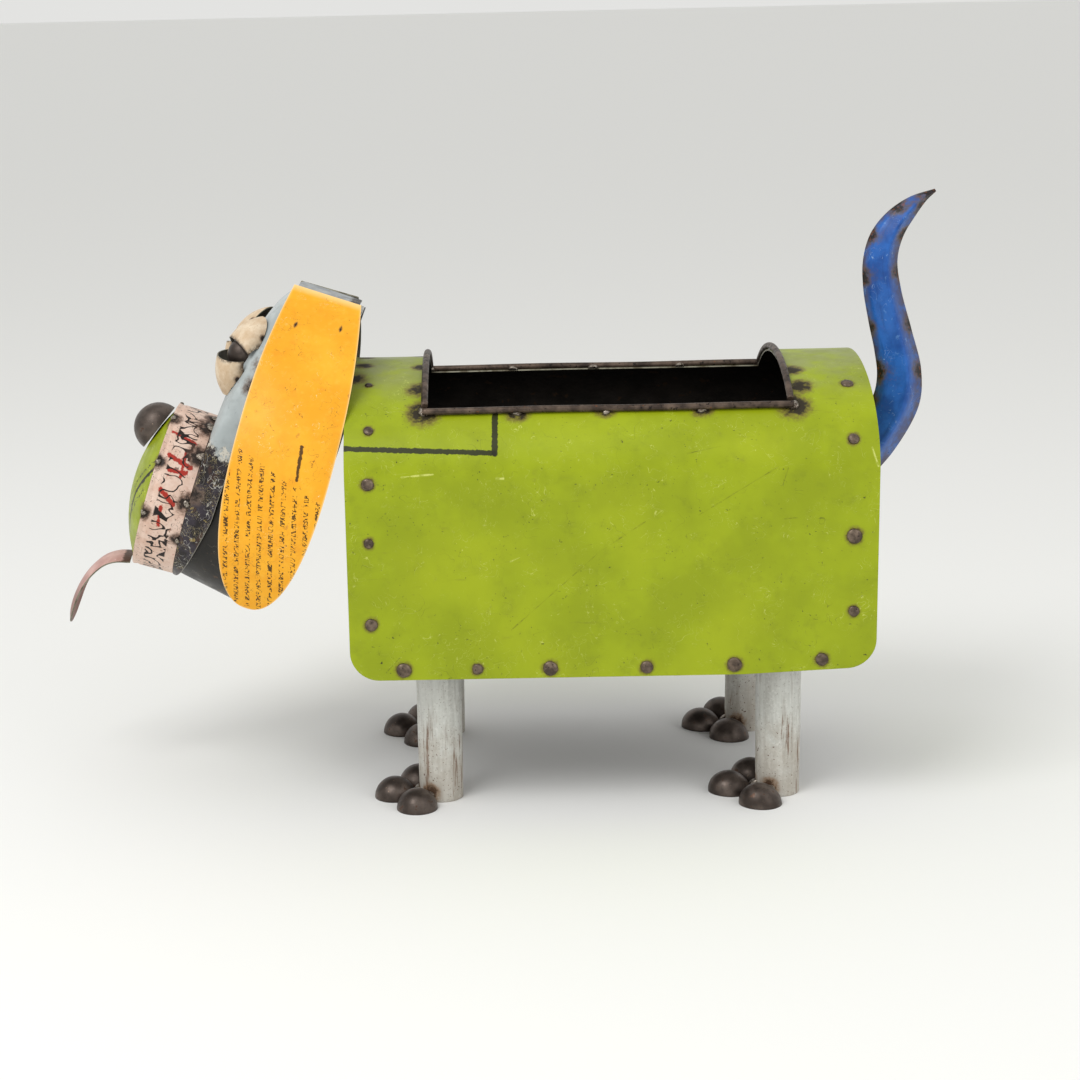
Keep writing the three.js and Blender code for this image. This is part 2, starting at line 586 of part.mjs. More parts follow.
// ---- ears: long flaps that flare from the crown and bend back down -------------------------
const EAR_WIDEST = 130; // how far down the ear is widest
const EAR_TOP_HALF = { near: 32.5, far: 28.5 };
const EAR_WIDE_HALF = 46.2;
function earHalfWidth(drop, topHalf) {
  if (drop < EAR_WIDEST) {
    return topHalf + (EAR_WIDE_HALF - topHalf) * (1 - (1 - drop / EAR_WIDEST) ** 2.4);
  }
  const share = (drop - EAR_WIDEST) / (EAR_LENGTH - EAR_WIDEST);
  return EAR_WIDE_HALF * Math.max(1 - share ** 2.3, 0.0015) ** (1 / 2.3);
}
for (const [side, sign] of SIDES) {
  const earOuter = (u, v) => {
    const drop = EAR_LENGTH * Math.sin(0.5 * Math.PI * v) ** 0.9;
    const across = sign * (1 - 2 * u) * earHalfWidth(drop, EAR_TOP_HALF[side]);
    const camber = 3 * (1 - (across / EAR_WIDE_HALF) ** 2) * Math.min(1, drop / 90);
    const out = EAR_ROOT + SHEET + EAR_FLARE * drop - EAR_BEND * drop * drop - EAR_TWIST * across + camber;
    return v3(-(EAR_CENTRE[side] - EAR_LEAN * drop + across), sign * out, EAR_TOP[side] - drop);
  };
  add(head, `ear_${side}`, sheet(earOuter, 6, 14), paints.yellow);
}

// ---- tongue: a cupped strip that runs out level and curls down -----------------------------
const TONGUE_HALF_WIDTH = 23;
const TONGUE_CUP = 4.5;
const tonguePath = planeCurve([
  [-458.5, 221.5], [-473, 222], [-486, 218.5], [-499, 209],
  [-510, 196], [-518.5, 180], [-523, 166], [-524, 153],
]);
const tongueOuter = (u, v) => {
  const spine = tonguePath.getPoint(v);
  const tangent = tonguePath.getTangent(v);
  const rounded = Math.sqrt(Math.max(0.03, 1 - Math.max(0, (v - 0.72) / 0.28) ** 2.4));
  const y = TONGUE_HALF_WIDTH * rounded * (2 * u - 1);
  const cup = TONGUE_CUP * (y / TONGUE_HALF_WIDTH) ** 2;
  return v3(spine.x - tangent.z * cup, y, spine.z + tangent.x * cup);
};
add(dog, 'tongue', sheet(tongueOuter, 6, 12), paints.tongue);

// The part's origin is on the ground, in the middle of its length.
dog.updateMatrixWorld(true);
const extent = new THREE.Box3().setFromObject(dog);
dog.position.x = -(extent.min.x + extent.max.x) / 2;
dog.updateMatrixWorld(true);

export default dog;
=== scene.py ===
import bpy
import numpy as np
from mathutils import Matrix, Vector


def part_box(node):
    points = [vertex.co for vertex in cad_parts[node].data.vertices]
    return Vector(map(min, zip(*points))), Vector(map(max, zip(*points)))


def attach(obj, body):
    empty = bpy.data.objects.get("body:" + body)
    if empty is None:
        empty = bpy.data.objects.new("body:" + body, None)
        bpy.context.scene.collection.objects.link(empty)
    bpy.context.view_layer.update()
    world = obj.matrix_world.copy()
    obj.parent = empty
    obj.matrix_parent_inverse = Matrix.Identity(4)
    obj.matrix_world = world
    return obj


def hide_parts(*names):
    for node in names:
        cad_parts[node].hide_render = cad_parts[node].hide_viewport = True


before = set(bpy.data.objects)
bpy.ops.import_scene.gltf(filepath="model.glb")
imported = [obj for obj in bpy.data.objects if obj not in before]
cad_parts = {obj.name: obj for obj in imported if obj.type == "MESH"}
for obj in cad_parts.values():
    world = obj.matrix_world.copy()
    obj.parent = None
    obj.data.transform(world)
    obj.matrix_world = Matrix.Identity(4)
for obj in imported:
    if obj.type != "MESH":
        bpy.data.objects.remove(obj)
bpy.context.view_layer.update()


# Body: one lime green drum sheet bent into an arch, riveted along its edges, with the trough's
# mouth cut out of the top. The lower corners are rounded and the sheet dips a little here and there.
MM = 0.001
SHEET = 1.5
shell_low, shell_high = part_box("body_shell")
BODY_X = 500 * (shell_low[0] + shell_high[0])
HALF_LENGTH = 240.0
HALF_WIDTH = 155.0
BOTTOM = 133.0
SPRING = 320.0
ARCH_RISE = 85.0
CORNER = 27.0
# The lower edge rises a little towards the rear, from this length on.
REAR_LIFT = 4.0
LIFT_FROM = 120.0
MOUTH = (-166.0, 163.0)
MOUTH_HALF_WIDTH = 119.0
RIM_TURN = np.arccos(MOUTH_HALF_WIDTH / HALF_WIDTH)


def lay(name, grid, keep=None, **marks):
    """A mesh over a grid of points in millimetres, or over several such grids. Four neighbours
    make a face that looks towards (step along a row) x (step to the next row), and points that
    meet are joined, so a ring closes and a pole comes to one point. keep picks the faces that
    stay. marks are numbers or places carried by the points, for the finishes to read."""
    sets = grid.reshape(-1, *grid.shape[-3:])
    index = np.arange(sets[..., 0].size).reshape(sets.shape[:3])
    corners = [index[:, :-1, :-1], index[:, :-1, 1:], index[:, 1:, 1:], index[:, 1:, :-1]]
    faces = np.stack(corners, -1).reshape(-1, 4)
    if keep is not None:
        faces = faces[keep.ravel()]
    points = sets.reshape(-1, 3)
    first, joined = np.unique(np.round(points, 3), axis=0, return_index=True, return_inverse=True)[1:]
    faces = joined.ravel()[faces]
    doubled = faces == np.roll(faces, -1, 1)
    whole = faces[doubled.sum(1) == 0]
    pinched = doubled.sum(1) == 1
    three = faces[pinched][~doubled[pinched]].reshape(-1, 3)
    used, order = np.unique(np.concatenate([whole.ravel(), three.ravel()]), return_inverse=True)
    polygons = order[: whole.size].reshape(-1, 4).tolist() + order[whole.size :].reshape(-1, 3).tolist()
    source = first[used]
    mesh = bpy.data.meshes.new(name)
    mesh.from_pydata(points[source] * MM, [], polygons)
    mesh.shade_smooth()
    for mark, values in marks.items():
        is_place = np.shape(values) == grid.shape
        kind, key = ("FLOAT_VECTOR", "vector") if is_place else ("FLOAT", "value")
        values = np.asarray(values, dtype=np.float32).reshape(len(points), -1)[source]
        mesh.attributes.new(mark, kind, "POINT").data.foreach_set(key, values.ravel())
    piece = bpy.data.objects.new(name, mesh)
    bpy.context.scene.collection.objects.link(piece)
    return piece


def thicken(piece, wall=SHEET, edge=0.35):
    """Gives a sheet its wall inwards, and takes the sharpness off its cut edges."""
    maker = piece.modifiers.new("wall", "SOLIDIFY")
    maker.thickness = wall * MM
    maker.offset = -1
    maker.use_even_offset = True
    maker.material_offset = 1
    maker.material_offset_rim = 2
    soften = piece.modifiers.new("soft_edge", "BEVEL")
    soften.width = edge * MM
    soften.segments = 2
    soften.limit_method = "ANGLE"
    soften.angle_limit = 0.9
    soften.harden_normals = True
    return piece


def dress(piece, finishes, slot, *nodes):
    """Gives a piece its finishes, hangs it under the root, and hides the solids it stands for."""
    for finish in finishes:
        piece.data.materials.append(finish)
    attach(piece, "root")
    if nodes:
        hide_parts(*nodes)


def near_spots(points, spots):
    """How close each point is to the nearest (place, radius): 1 at a place, fading as a bell curve."""
    closest = np.zeros(points.shape[:-1])
    for place, radius in spots:
        away = np.linalg.norm(points - np.asarray(place), axis=-1)
        closest = np.maximum(closest, np.exp(-((away / radius) ** 2)))
    return closest


def paint(code):
    """A colour from its six-digit code, as light values."""
    parts = np.array([int(code[i : i + 2], 16) for i in (0, 2, 4)]) / 255
    light = np.where(parts <= 0.04045, parts / 12.92, ((parts + 0.055) / 1.055) ** 2.4)
    return (*[float(part) for part in light], 1.0)


class Finish:
    """A finish, built up node by node. Each method adds what its name says and returns its output."""

    def __init__(self, name):
        self.material = bpy.data.materials.new(name)
        self.material.use_nodes = True
        self.skin = self.material.node_tree.nodes["Principled BSDF"]
        self.colour = None
        place = self.node("TexCoord").outputs["Object"]
        self.place = self.node("VectorMath", {0: place, "Scale": 1 / MM}, operation="SCALE").outputs[0]

    def node(self, kind, values=None, **settings):
        made = self.material.node_tree.nodes.new("ShaderNode" + kind)
        for name, value in settings.items():
            setattr(made, name, value)
        for key, value in (values or {}).items():
            self.put(made.inputs[key], value)
        return made

    def put(self, socket, value):
        if isinstance(value, bpy.types.NodeSocket):
            self.material.node_tree.links.new(value, socket)
        else:
            socket.default_value = value

    def mark(self, name):
        return self.node("Attribute", attribute_name=name).outputs["Fac"]

    def mark_place(self):
        return self.node("Attribute", attribute_name="place").outputs["Vector"]

    def parts_of(self, at):
        return self.node("SeparateXYZ", {0: at}).outputs

    def stretched(self, at, scale, turn=(0, 0, 0)):
        return self.node("Mapping", {"Vector": at, "Scale": scale, "Rotation": turn}).outputs[0]

    def noise(self, size, detail=3.0, rough=0.6, at=None, twist=0.0):
        at = self.place if at is None else at
        values = {"Vector": at, "Scale": 1 / size, "Detail": detail, "Roughness": rough}
        return self.node("TexNoise", {**values, "Distortion": twist}).outputs[0]

    def fade(self, value, low, high, start=0.0, end=1.0):
        """start where value is low, end where it is high, eased between; low may be above high."""
        values = {"Value": value, "From Min": low, "From Max": high, "To Min": start, "To Max": end}
        return self.node("MapRange", values, interpolation_type="SMOOTHSTEP").outputs[0]

    def sum(self, a, b):
        return self.node("Math", {0: a, 1: b}, operation="ADD").outputs[0]

    def less(self, a, b):
        return self.node("Math", {0: a, 1: b}, operation="SUBTRACT").outputs[0]

    def times(self, a, b):
        return self.node("Math", {0: a, 1: b}, operation="MULTIPLY").outputs[0]

    def most(self, a, b):
        return self.node("Math", {0: a, 1: b}, operation="MAXIMUM").outputs[0]

    def size_of(self, a):
        return self.node("Math", {0: a}, operation="ABSOLUTE").outputs[0]

    def over(self, share, under, coat):
        return self.node("Mix", {0: share, 6: under, 7: coat}, data_type="RGBA").outputs[2]

    def ground(self, share, code, other):
        """The first colour, drifting between two codes."""
        self.colour = self.over(share, paint(code), paint(other))

    def coat(self, share, code, strength=None):
        """Another colour over what is there, where share says, at most as strong as strength."""
        share = share if strength is None else self.times(share, strength)
        self.colour = self.over(share, self.colour, paint(code))

    def patches(self, size, amount, soft=0.04, detail=4.0, at=None):
        """Ragged blots: where a noise is above a level. amount 0 gives none, 1 about half the surface."""
        level = 0.74 - 0.24 * amount
        return self.fade(self.noise(size, detail, 0.65, at), level, level + soft)

    def hairlines(self, size, width, amount, at=None, twist=0.6):
        """Thin curved scratches: the level lines of a slow noise, kept only in patches."""
        level = self.size_of(self.less(self.noise(size, 1.5, 0.5, at, twist), 0.5))
        line = self.fade(level, width, 0.2 * width)
        return self.times(line, self.patches(1.9 * size, amount, 0.08, 2.0, at))

    def stroke(self, at, start, end, half_width, soft=0.3, ragged=None):
        """A straight mark: 1 within half_width of the line from start to end, 0 further out."""
        start, end = np.array(start, float), np.array(end, float)
        along = end - start
        away = self.node("VectorMath", {0: at, 1: tuple(start)}, operation="SUBTRACT").outputs[0]
        rule = tuple(along / (along @ along))
        share = self.node("VectorMath", {0: away, 1: rule}, operation="DOT_PRODUCT").outputs["Value"]
        share = self.node("Clamp", {0: share}).outputs[0]
        foot = self.node("VectorMath", {0: tuple(along), "Scale": share}, operation="SCALE").outputs[0]
        gap = self.node("VectorMath", {0: away, 1: foot}, operation="DISTANCE").outputs["Value"]
        if ragged is not None:
            gap = self.sum(gap, ragged)
        return self.fade(gap, half_width + soft, half_width - soft)

    def scorch(self, brown="6b5a2c", black="231b14"):
        """Round a weld the paint is burnt: a thin brown tint, then black towards the middle."""
        heat = self.times(self.mark("burn"), self.fade(self.noise(6, 5, 0.7), 0.25, 0.75, 0.45, 1.35))
        self.coat(self.fade(heat, 0.08, 0.42, 0, 0.8), brown)
        self.coat(self.fade(heat, 0.34, 0.66, 0, 0.95), black)

    def gloss(self, size, low, high, detail=3.0, burnt=0.0):
        """A roughness that drifts between two values, and rises by burnt where a weld's heat was."""
        rough = self.fade(self.noise(size, detail), 0.3, 0.7, low, high)
        return self.sum(rough, self.times(self.mark("burn"), burnt)) if burnt else rough

    def done(self, rough, relief=None, depth=0.1, **sockets):
        """Puts the colour, roughness and relief (depth in millimetres) on the surface."""
        self.skin.inputs["Specular IOR Level"].default_value = 0.28
        self.put(self.skin.inputs["Base Color"], self.colour)
        self.put(self.skin.inputs["Roughness"], rough)
        if relief is not None:
            bump = self.node("Bump", {"Height": relief, "Distance": depth * MM, "Strength": 1.0})
            self.put(self.skin.inputs["Normal"], bump.outputs[0])
        for name, value in sockets.items():
            self.put(self.skin.inputs[name.replace("_", " ")], value)
        return self.material


def girth(z):
    """Length up the body's side, and from the spring line on along the arch, by summed small steps."""
    turns = np.linspace(0, np.pi / 2, 721)
    steps = np.hypot(HALF_WIDTH * np.sin(turns), ARCH_RISE * np.cos(turns)) * (turns[1] - turns[0])
    lengths = SPRING + np.concatenate([[0], np.cumsum(0.5 * (steps[1:] + steps[:-1]))])
    turned = np.arcsin(np.clip((z - SPRING) / ARCH_RISE, 0, 1))
    return np.where(z > SPRING, np.interp(turned, turns, lengths), z)


def on_body(x, z, side=-1):
    """The point of the body's outer face at a length and a height, and the way it faces."""
    lift = np.clip((z - SPRING) / ARCH_RISE, 0, 1)
    across = np.sqrt(1 - lift**2)
    facing = np.array([0.0, side * across / HALF_WIDTH, lift / ARCH_RISE])
    return np.array([BODY_X + x, side * across * HALF_WIDTH, z]), facing / np.linalg.norm(facing)


# Columns crowd towards the rounded corners; rows run from one lower edge over the back to the other.
corner_turn = np.linspace(0, np.pi / 2, 13)
columns_x = np.concatenate(
    [
        -HALF_LENGTH + CORNER * (1 - np.cos(corner_turn[:-1])),
        np.linspace(-HALF_LENGTH + CORNER, MOUTH[0], 15)[:-1],
        np.linspace(*MOUTH, 100)[:-1],
        np.linspace(MOUTH[1], HALF_LENGTH - CORNER, 16)[:-1],
        HALF_LENGTH - CORNER * (1 - np.cos(corner_turn[::-1])),
    ]
)
into_corner = np.clip(np.abs(columns_x) - (HALF_LENGTH - CORNER), 0, CORNER)
lower_edge = BOTTOM + CORNER - np.sqrt(CORNER**2 - into_corner**2)
lower_edge += REAR_LIFT * np.clip((columns_x - LIFT_FROM) / (HALF_LENGTH - CORNER - LIFT_FROM), 0, 1)
arch_turn = np.concatenate(
    [
        np.linspace(0, RIM_TURN, 21)[:-1],
        np.linspace(RIM_TURN, np.pi - RIM_TURN, 85)[:-1],
        np.linspace(np.pi - RIM_TURN, np.pi, 21),
    ]
)
wall_z = lower_edge + np.linspace(0, 1, 58)[:-1, None] * (SPRING - lower_edge)
wall_y = np.full_like(wall_z, -HALF_WIDTH)
arch_z = np.repeat(SPRING + ARCH_RISE * np.sin(arch_turn)[:, None], len(columns_x), 1)
arch_y = np.repeat(-HALF_WIDTH * np.cos(arch_turn)[:, None], len(columns_x), 1)
body_y = np.vstack([wall_y, arch_y, -wall_y[::-1]])
body_z = np.vstack([wall_z, arch_z, wall_z[::-1]])
body_x = np.broadcast_to(columns_x, body_y.shape)
body_girth = girth(body_z)
# The sheet dips inwards here and there by up to 0.8 mm, fading out at its edges and its mouth.
dips = 0.5 + 0.25 * np.sin(body_x / 41 + body_girth / 67) + 0.25 * np.sin(body_girth / 33 - body_x / 83)
held = np.clip((HALF_LENGTH - np.abs(body_x)) / 30, 0, 1) * np.clip((body_girth - BOTTOM) / 30, 0, 1)
dip = 0.8 * dips * held
dipped_y = body_y * (HALF_WIDTH - dip) / HALF_WIDTH
dipped_z = np.where(body_z > SPRING, SPRING + (body_z - SPRING) * (ARCH_RISE - dip) / ARCH_RISE, body_z)
body_grid = np.stack([BODY_X + body_x, dipped_y, dipped_z], -1)
face_x = 0.5 * (columns_x[:-1] + columns_x[1:])
face_y = 0.5 * (body_y[:-1, :-1] + body_y[1:, 1:])
face_z = 0.5 * (body_z[:-1, :-1] + body_z[1:, 1:])
in_mouth = (face_x > MOUTH[0]) & (face_x < MOUTH[1])
in_mouth = in_mouth & (np.abs(face_y) < MOUTH_HALF_WIDTH) & (face_z > SPRING)

# Rivets along the edges: length, height and head width, the same on both sides.
RIVETS = [
    (-219.5, 394, 7.5),
    (-218, 362, 10),
    (-219, 316.7, 12.6),
    (-219.6, 262.4, 10),
    (-219.5, 186, 12.8),
    (-191, 142.5, 15),
    (-123.5, 142.5, 11),
    (-57, 142, 15),
    (31, 141.5, 12.9),
    (111, 142.5, 15),
    (190.5, 146, 13),
    (219, 389, 12.5),
    (217, 348.5, 11),
    (218, 261, 15.5),
    (218.8, 191, 11.1),
]
# Tack welds that hold the rods of the mouth: length, height on the back, and how far the paint is burnt.
TACKS = [(-168.5, 375, 15), (167, 375, 15), (-83.6, 374, 11), (-3.4, 374, 9), (84.2, 374, 10)]
ROD_BURNS = [
    (-172, 391, 12),
    (172, 398, 10),
    (-172, 403, 9),
    (176, 388, 11),
    (-236, 398, 13),
    (-226, 404, 9),
]
rivet_seats, tack_seats = [], []
for side in (-1, 1):
    rivet_seats += [(*on_body(x, z, side), width) for x, z, width in RIVETS]
    tack_seats += [(*on_body(x, z, side), width) for x, z, width in TACKS]
burnt_places = [(seat, 0.42 * width + 0.8) for seat, facing, width in rivet_seats]
burnt_places += [(seat, width) for seat, facing, width in tack_seats]
burnt_places += [(on_body(x, z, side)[0], width) for x, z, width in ROD_BURNS for side in (-1, 1)]
side_place = np.where(body_y < 0, -1000.0, 1000.0)
body_marks = {
    "place": np.stack([body_x, body_girth, side_place], -1),
    "burn": near_spots(body_grid, burnt_places),
}

lime = Finish("lime_body_paint")
flat = lime.mark_place()
up_the_side = lime.parts_of(flat)[1]
lime.ground(lime.fade(lime.noise(55, 3), 0.35, 0.68), "8b990b", "96a50e")
lime.coat(lime.fade(lime.noise(19, 5, 0.7), 0.5, 0.8, 0, 0.42), "727d14")
lime.coat(lime.fade(lime.noise(120, 2), 0.45, 0.7, 0, 0.35), "a4af16")
# Painted sheen: over the upper arch the lime is mixed towards a greyish green, standing in for the dull
# reflection of the white surroundings there.
painted_top_sheen = lime.times(lime.fade(up_the_side, 380, 460, 0, 0.6), lime.fade(lime.noise(24, 5), 0.3, 0.6))
lime.coat(painted_top_sheen, "858a52")
lime.coat(lime.fade(lime.noise(26, 7, 0.72), 0.6, 0.78, 0, 0.42), "6f6c2c")
streaks = lime.noise(7, 5, 0.7, lime.stretched(flat, (0.16, 1, 1)))
lime.coat(lime.fade(streaks, 0.62, 0.75, 0, 0.35), "77791f")
flecks = lime.fade(lime.noise(2.6, 2, 0.5), 0.68, 0.75)
flecks = lime.times(flecks, lime.fade(lime.noise(38, 3), 0.45, 0.62))
lime.coat(flecks, "38361a")
pale = lime.most(lime.hairlines(13, 0.006, 1.0, twist=1.4), lime.hairlines(7, 0.009, 0.6, twist=2.2))
pale = lime.most(pale, lime.times(lime.patches(6.5, 0.12), lime.fade(lime.noise(60, 1), 0.5, 0.6)))
lime.coat(pale, "dbe07c", 0.4)
lime.coat(lime.hairlines(21, 0.003, 0.8, twist=0.2), "4d4f16", 0.6)
# Marks left by the drum's first use, on the dog's left side: a painted line, drag marks and scrapes,
# each from one (length, height) to another with half its width.
ragged = lime.times(lime.less(lime.noise(3.2, 4, 0.7), 0.5), 3.6)
faint = lime.times(lime.less(lime.noise(9, 5, 0.75), 0.5), 5.0)
PAINTED = [((-246, 348.5), (-105, 342.5), 2.5), ((-104.5, 342), (-103, 380), 2.8)]
DRAGGED = [
    ((-92, 179), (-11, 251), 0.3),
    ((-11, 251), (30, 278), 0.3),
    ((78, 283), (149, 326), 0.35),
    ((-154, 225), (7, 264), -0.2),
    ((68, 339), (98, 344.5), 0.2),
    ((155, 278), (166.5, 279), 0.6),
    ((158, 325), (153, 309), 0.3),
    ((-207, 141), (-191, 158), 0.4),
]
SCRAPED = [
    ((-188, 323), (-160, 325), 0.9),
    ((-103, 320), (-97, 320), 1.6),
    ((27, 226), (50, 214), -0.1),
    ((38, 213), (62, 228), -0.1),
    ((66, 230), (84, 214), -0.1),
    ((-214, 190), (-146, 184), -0.4),
    ((-92, 243), (-83, 247), 0.3),
    ((233, 341), (238, 325), 0.8),
]
skips = lime.fade(lime.noise(4.5, 4, 0.7), 0.42, 0.6, 0.12, 0.75)
for lines, wobble, coat, share in (
    (SCRAPED, faint, "d5da7a", skips),
    (DRAGGED, faint, "55540f", skips),
    (PAINTED, ragged, "20200f", 0.95),
):
    for start, end, half_width in lines:
        ends = [(x, float(girth(z)), -1000.0) for x, z in (start, end)]
        line = lime.times(lime.stroke(flat, *ends, half_width, 0.4, wobble), share)
        lime.coat(line, coat)
lime.scorch()
relief = lime.sum(lime.times(lime.noise(14, 3), 1.5), lime.times(lime.noise(1.1, 3, 0.6), 0.22))
relief = lime.less(relief, lime.times(pale, 0.35))
gloss = lime.gloss(23, 0.34, 0.5, 4, burnt=0.25)
lime_paint = lime.done(gloss, relief, 0.12)

# The trough's inside: near black, dark paint that is also painted shade for the deep inside of the trough.
trough = Finish("trough_inside_black_and_shade")
trough.ground(trough.fade(trough.noise(30, 5), 0.35, 0.7), "1c1916", "2c2723")
trough.coat(trough.patches(12, 0.5), "3b2c20")
trough_black_and_shade = trough.done(trough.gloss(11, 0.5, 0.72), trough.noise(3, 4), 0.15)

bare = Finish("cut_sheet_edge")
bare.ground(bare.fade(bare.noise(9, 4), 0.4, 0.65), "8c8978", "57503f")
cut_edge = bare.done(bare.gloss(4, 0.35, 0.6), bare.noise(1.2), 0.08, Metallic=0.35)

body = thicken(lay("body_sheet", body_grid, ~in_mouth, **body_marks))
dress(body, [lime_paint, trough_black_and_shade, cut_edge], "body_paint", "body_shell")


# Rivets and welds: domed rivet heads along the sheet's edges. The same dome, lower and lumpy, makes
# the blobs of weld metal at the end of this script.
def dome(seat, facing, radius, height, sink=0.4, lumps=0.0, turn=0.0, rows=8, columns=24, closed=True):
    """A dome over a seat: rows from the rim to the top, round the way it faces, and when closed
    with a flat underside. lumps makes its outline wander as two waves round it, started at turn."""
    facing = np.asarray(facing, float)
    level = np.cross(facing, (1.0, 0.0, 0.0) if abs(facing[0]) < 0.9 else (0.0, 1.0, 0.0))
    level /= np.linalg.norm(level)
    other = np.cross(facing, level)
    around = np.linspace(0, 2 * np.pi, columns + 1)
    fall = np.linspace(np.pi / 2, 0, rows)[:, None]
    waves = np.sin(2 * around + turn) + 0.7 * np.sin(3 * around - 2 * turn)
    out = radius * np.sin(fall) * (1 + lumps * waves)
    rise = height * np.cos(fall) + 0 * around - np.where(fall > 1.5, sink, 0)
    out = np.where(fall == 0, 0, out)
    if closed:
        out, rise = np.vstack([0 * out[:1], out]), np.vstack([rise[:1], rise])
    ring = [np.cos(around)[None, :, None] * level, np.sin(around)[None, :, None] * other]
    return np.asarray(seat) + out[..., None] * (ring[0] + ring[1]) + rise[..., None] * facing


metal = Finish("brown_steel")
metal.ground(metal.fade(metal.noise(7, 4), 0.35, 0.7), "4b4038", "7a6a5c")
metal.coat(metal.patches(2.6, 0.45), "2b2320")
metal_gloss = metal.gloss(3, 0.3, 0.5, 4)
rivet_steel = metal.done(metal_gloss, metal.noise(1.4, 4, 0.7), 0.12, Metallic=0.55)

bead = Finish("weld_metal")
bead.ground(bead.fade(bead.noise(2.2, 4), 0.4, 0.62), "a39a8f", "51463c")
bead.coat(bead.patches(1.6, 0.3), "241d18")
weld_metal = bead.done(bead.gloss(1.5, 0.22, 0.45), bead.noise(0.9, 4, 0.7), 0.25, Metallic=0.8)

rivets = lay("rivets", np.array([dome(s, f, 0.46 * w, 0.2 * w, lumps=0.02) for s, f, w in rivet_seats]))
dress(rivets, [rivet_steel], "body_paint")


# Mouth rods: four steel rods, 6.4 mm thick, tacked along the cut edge of the trough's mouth. Two run
# along the sides and two are bent over the ends of the opening.
ROD_RADIUS = 3.2
ROD_STAND_OFF = 3.5


def rod(path, across, radius=ROD_RADIUS, columns=20):
    """A round bar along a path. across is a direction square to the path all along. Each point is
    the path's plus radius times (cosine of a turn x across + sine of it x the third direction)."""
    way = np.gradient(path, axis=0)
    way /= np.linalg.norm(way, axis=1, keepdims=True)
    across = np.broadcast_to(np.asarray(across, float), path.shape)
    third = np.cross(way, across)
    turn = np.linspace(0, 2 * np.pi, columns + 1)[None, :, None]
    radii = np.full(len(path), radius)
    path = np.vstack([path[:1], path[:1], path, path[-1:], path[-1:]])
    radii = np.concatenate([[0, 0.75 * radius], radii, [0.75 * radius, 0]])
    across = np.vstack([across[:1], across[:1], across, across[-1:], across[-1:]])
    third = np.vstack([third[:1], third[:1], third, third[-1:], third[-1:]])
    swing = np.cos(turn) * across[:, None] + np.sin(turn) * third[:, None]
    return path[:, None] + radii[:, None, None] * swing


rods = Finish("mouth_rod_steel")
rods.ground(rods.fade(rods.noise(14, 4), 0.35, 0.7), "3a302a", "6a5a4e")
rods.coat(rods.patches(4, 0.6), "1f1916")
rods.coat(rods.patches(6, 0.3), "7b4a2c")
rod_steel = rods.done(rods.gloss(4, 0.32, 0.55), rods.noise(1.1, 4, 0.7), 0.15, Metallic=0.5)

rod_y = (HALF_WIDTH + ROD_STAND_OFF) * np.cos(RIM_TURN)
rod_z = SPRING + (ARCH_RISE + ROD_STAND_OFF) * np.sin(RIM_TURN)
for side, name in ((-1, "near"), (1, "far")):
    x = BODY_X + np.linspace(MOUTH[0] - ROD_RADIUS, MOUTH[1] + ROD_RADIUS, 90)
    path = np.stack([x, side * rod_y + 0 * x, rod_z + 0.3 * np.sin(x / 31) - 0.3], -1)
    dress(lay("side_rod_" + name, rod(path, (0, 1, 0))), [rod_steel], "rim_rod", "rim_rod_" + name)
for x, name in ((MOUTH[0] - 0.4 * ROD_RADIUS, "front"), (MOUTH[1] + 0.4 * ROD_RADIUS, "rear")):
    turn = np.linspace(RIM_TURN + 0.055, np.pi - RIM_TURN - 0.055, 90)
    y = (HALF_WIDTH + ROD_STAND_OFF) * np.cos(turn)
    z = SPRING + (ARCH_RISE + ROD_STAND_OFF) * np.sin(turn)
    path = np.stack([BODY_X + x + 0 * y, y, z], -1)
    dress(lay("end_rod_" + name, rod(path, (1, 0, 0))), [rod_steel], "rim_rod", "rim_rod_" + name)


# End walls and floor of the trough: pressed trays of the same drum sheet, edges folded inwards.
# The floor and the insides are near black, dark paint that is also painted shade inside the trough; the
# outer faces are lime green.
END_WALL = HALF_LENGTH - 16

end = Finish("end_wall_paint")
outwards = end.size_of(end.less(end.parts_of(end.place)[0], BODY_X))
outside = end.fade(outwards, END_WALL - 0.9, END_WALL - 0.5)
end.ground(end.fade(end.noise(48, 3), 0.35, 0.68), "8a980b", "97a50e")
end.coat(end.fade(end.noise(17, 5, 0.7), 0.5, 0.8, 0, 0.5), "6f7a18")
end.coat(end.patches(8, 0.35), "5c5326", 0.6)
end.coat(end.hairlines(13, 0.006, 1.0, twist=1.4), "d5da7a", 0.6)
# The inner faces are near black: dark paint that is also painted shade inside the trough.
end.colour = end.over(outside, paint("211d1a"), end.colour)
relief = end.sum(end.times(end.noise(14, 3), 1.5), end.times(end.noise(1.1), 0.2))
end_paint = end.done(end.gloss(21, 0.36, 0.55, 4), relief, 0.15)

for name in ("front_panel", "rear_panel"):
    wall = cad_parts[name]
    wall.data.materials.clear()
    wall.data.materials.append(end_paint)
floor_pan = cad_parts["floor_pan"]
floor_pan.data.materials.clear()
floor_pan.data.materials.append(trough_black_and_shade)


# Legs: four lengths of steel pipe, welded to the floor of the body. The grey-white paint has run and
# rust creeps up from the feet.
PIPE_RADIUS = 21.2
PIPE_WALL = 2.6
PIPE_TOP = 149.2
PIPE_EDGE = 0.6
LEG_SPREAD = 97.0
LEGS = {
    "front_near": (-161.0, -1),
    "front_far": (-161.0, 1),
    "rear_near": (158.7, -1),
    "rear_far": (150.3, 1),
}

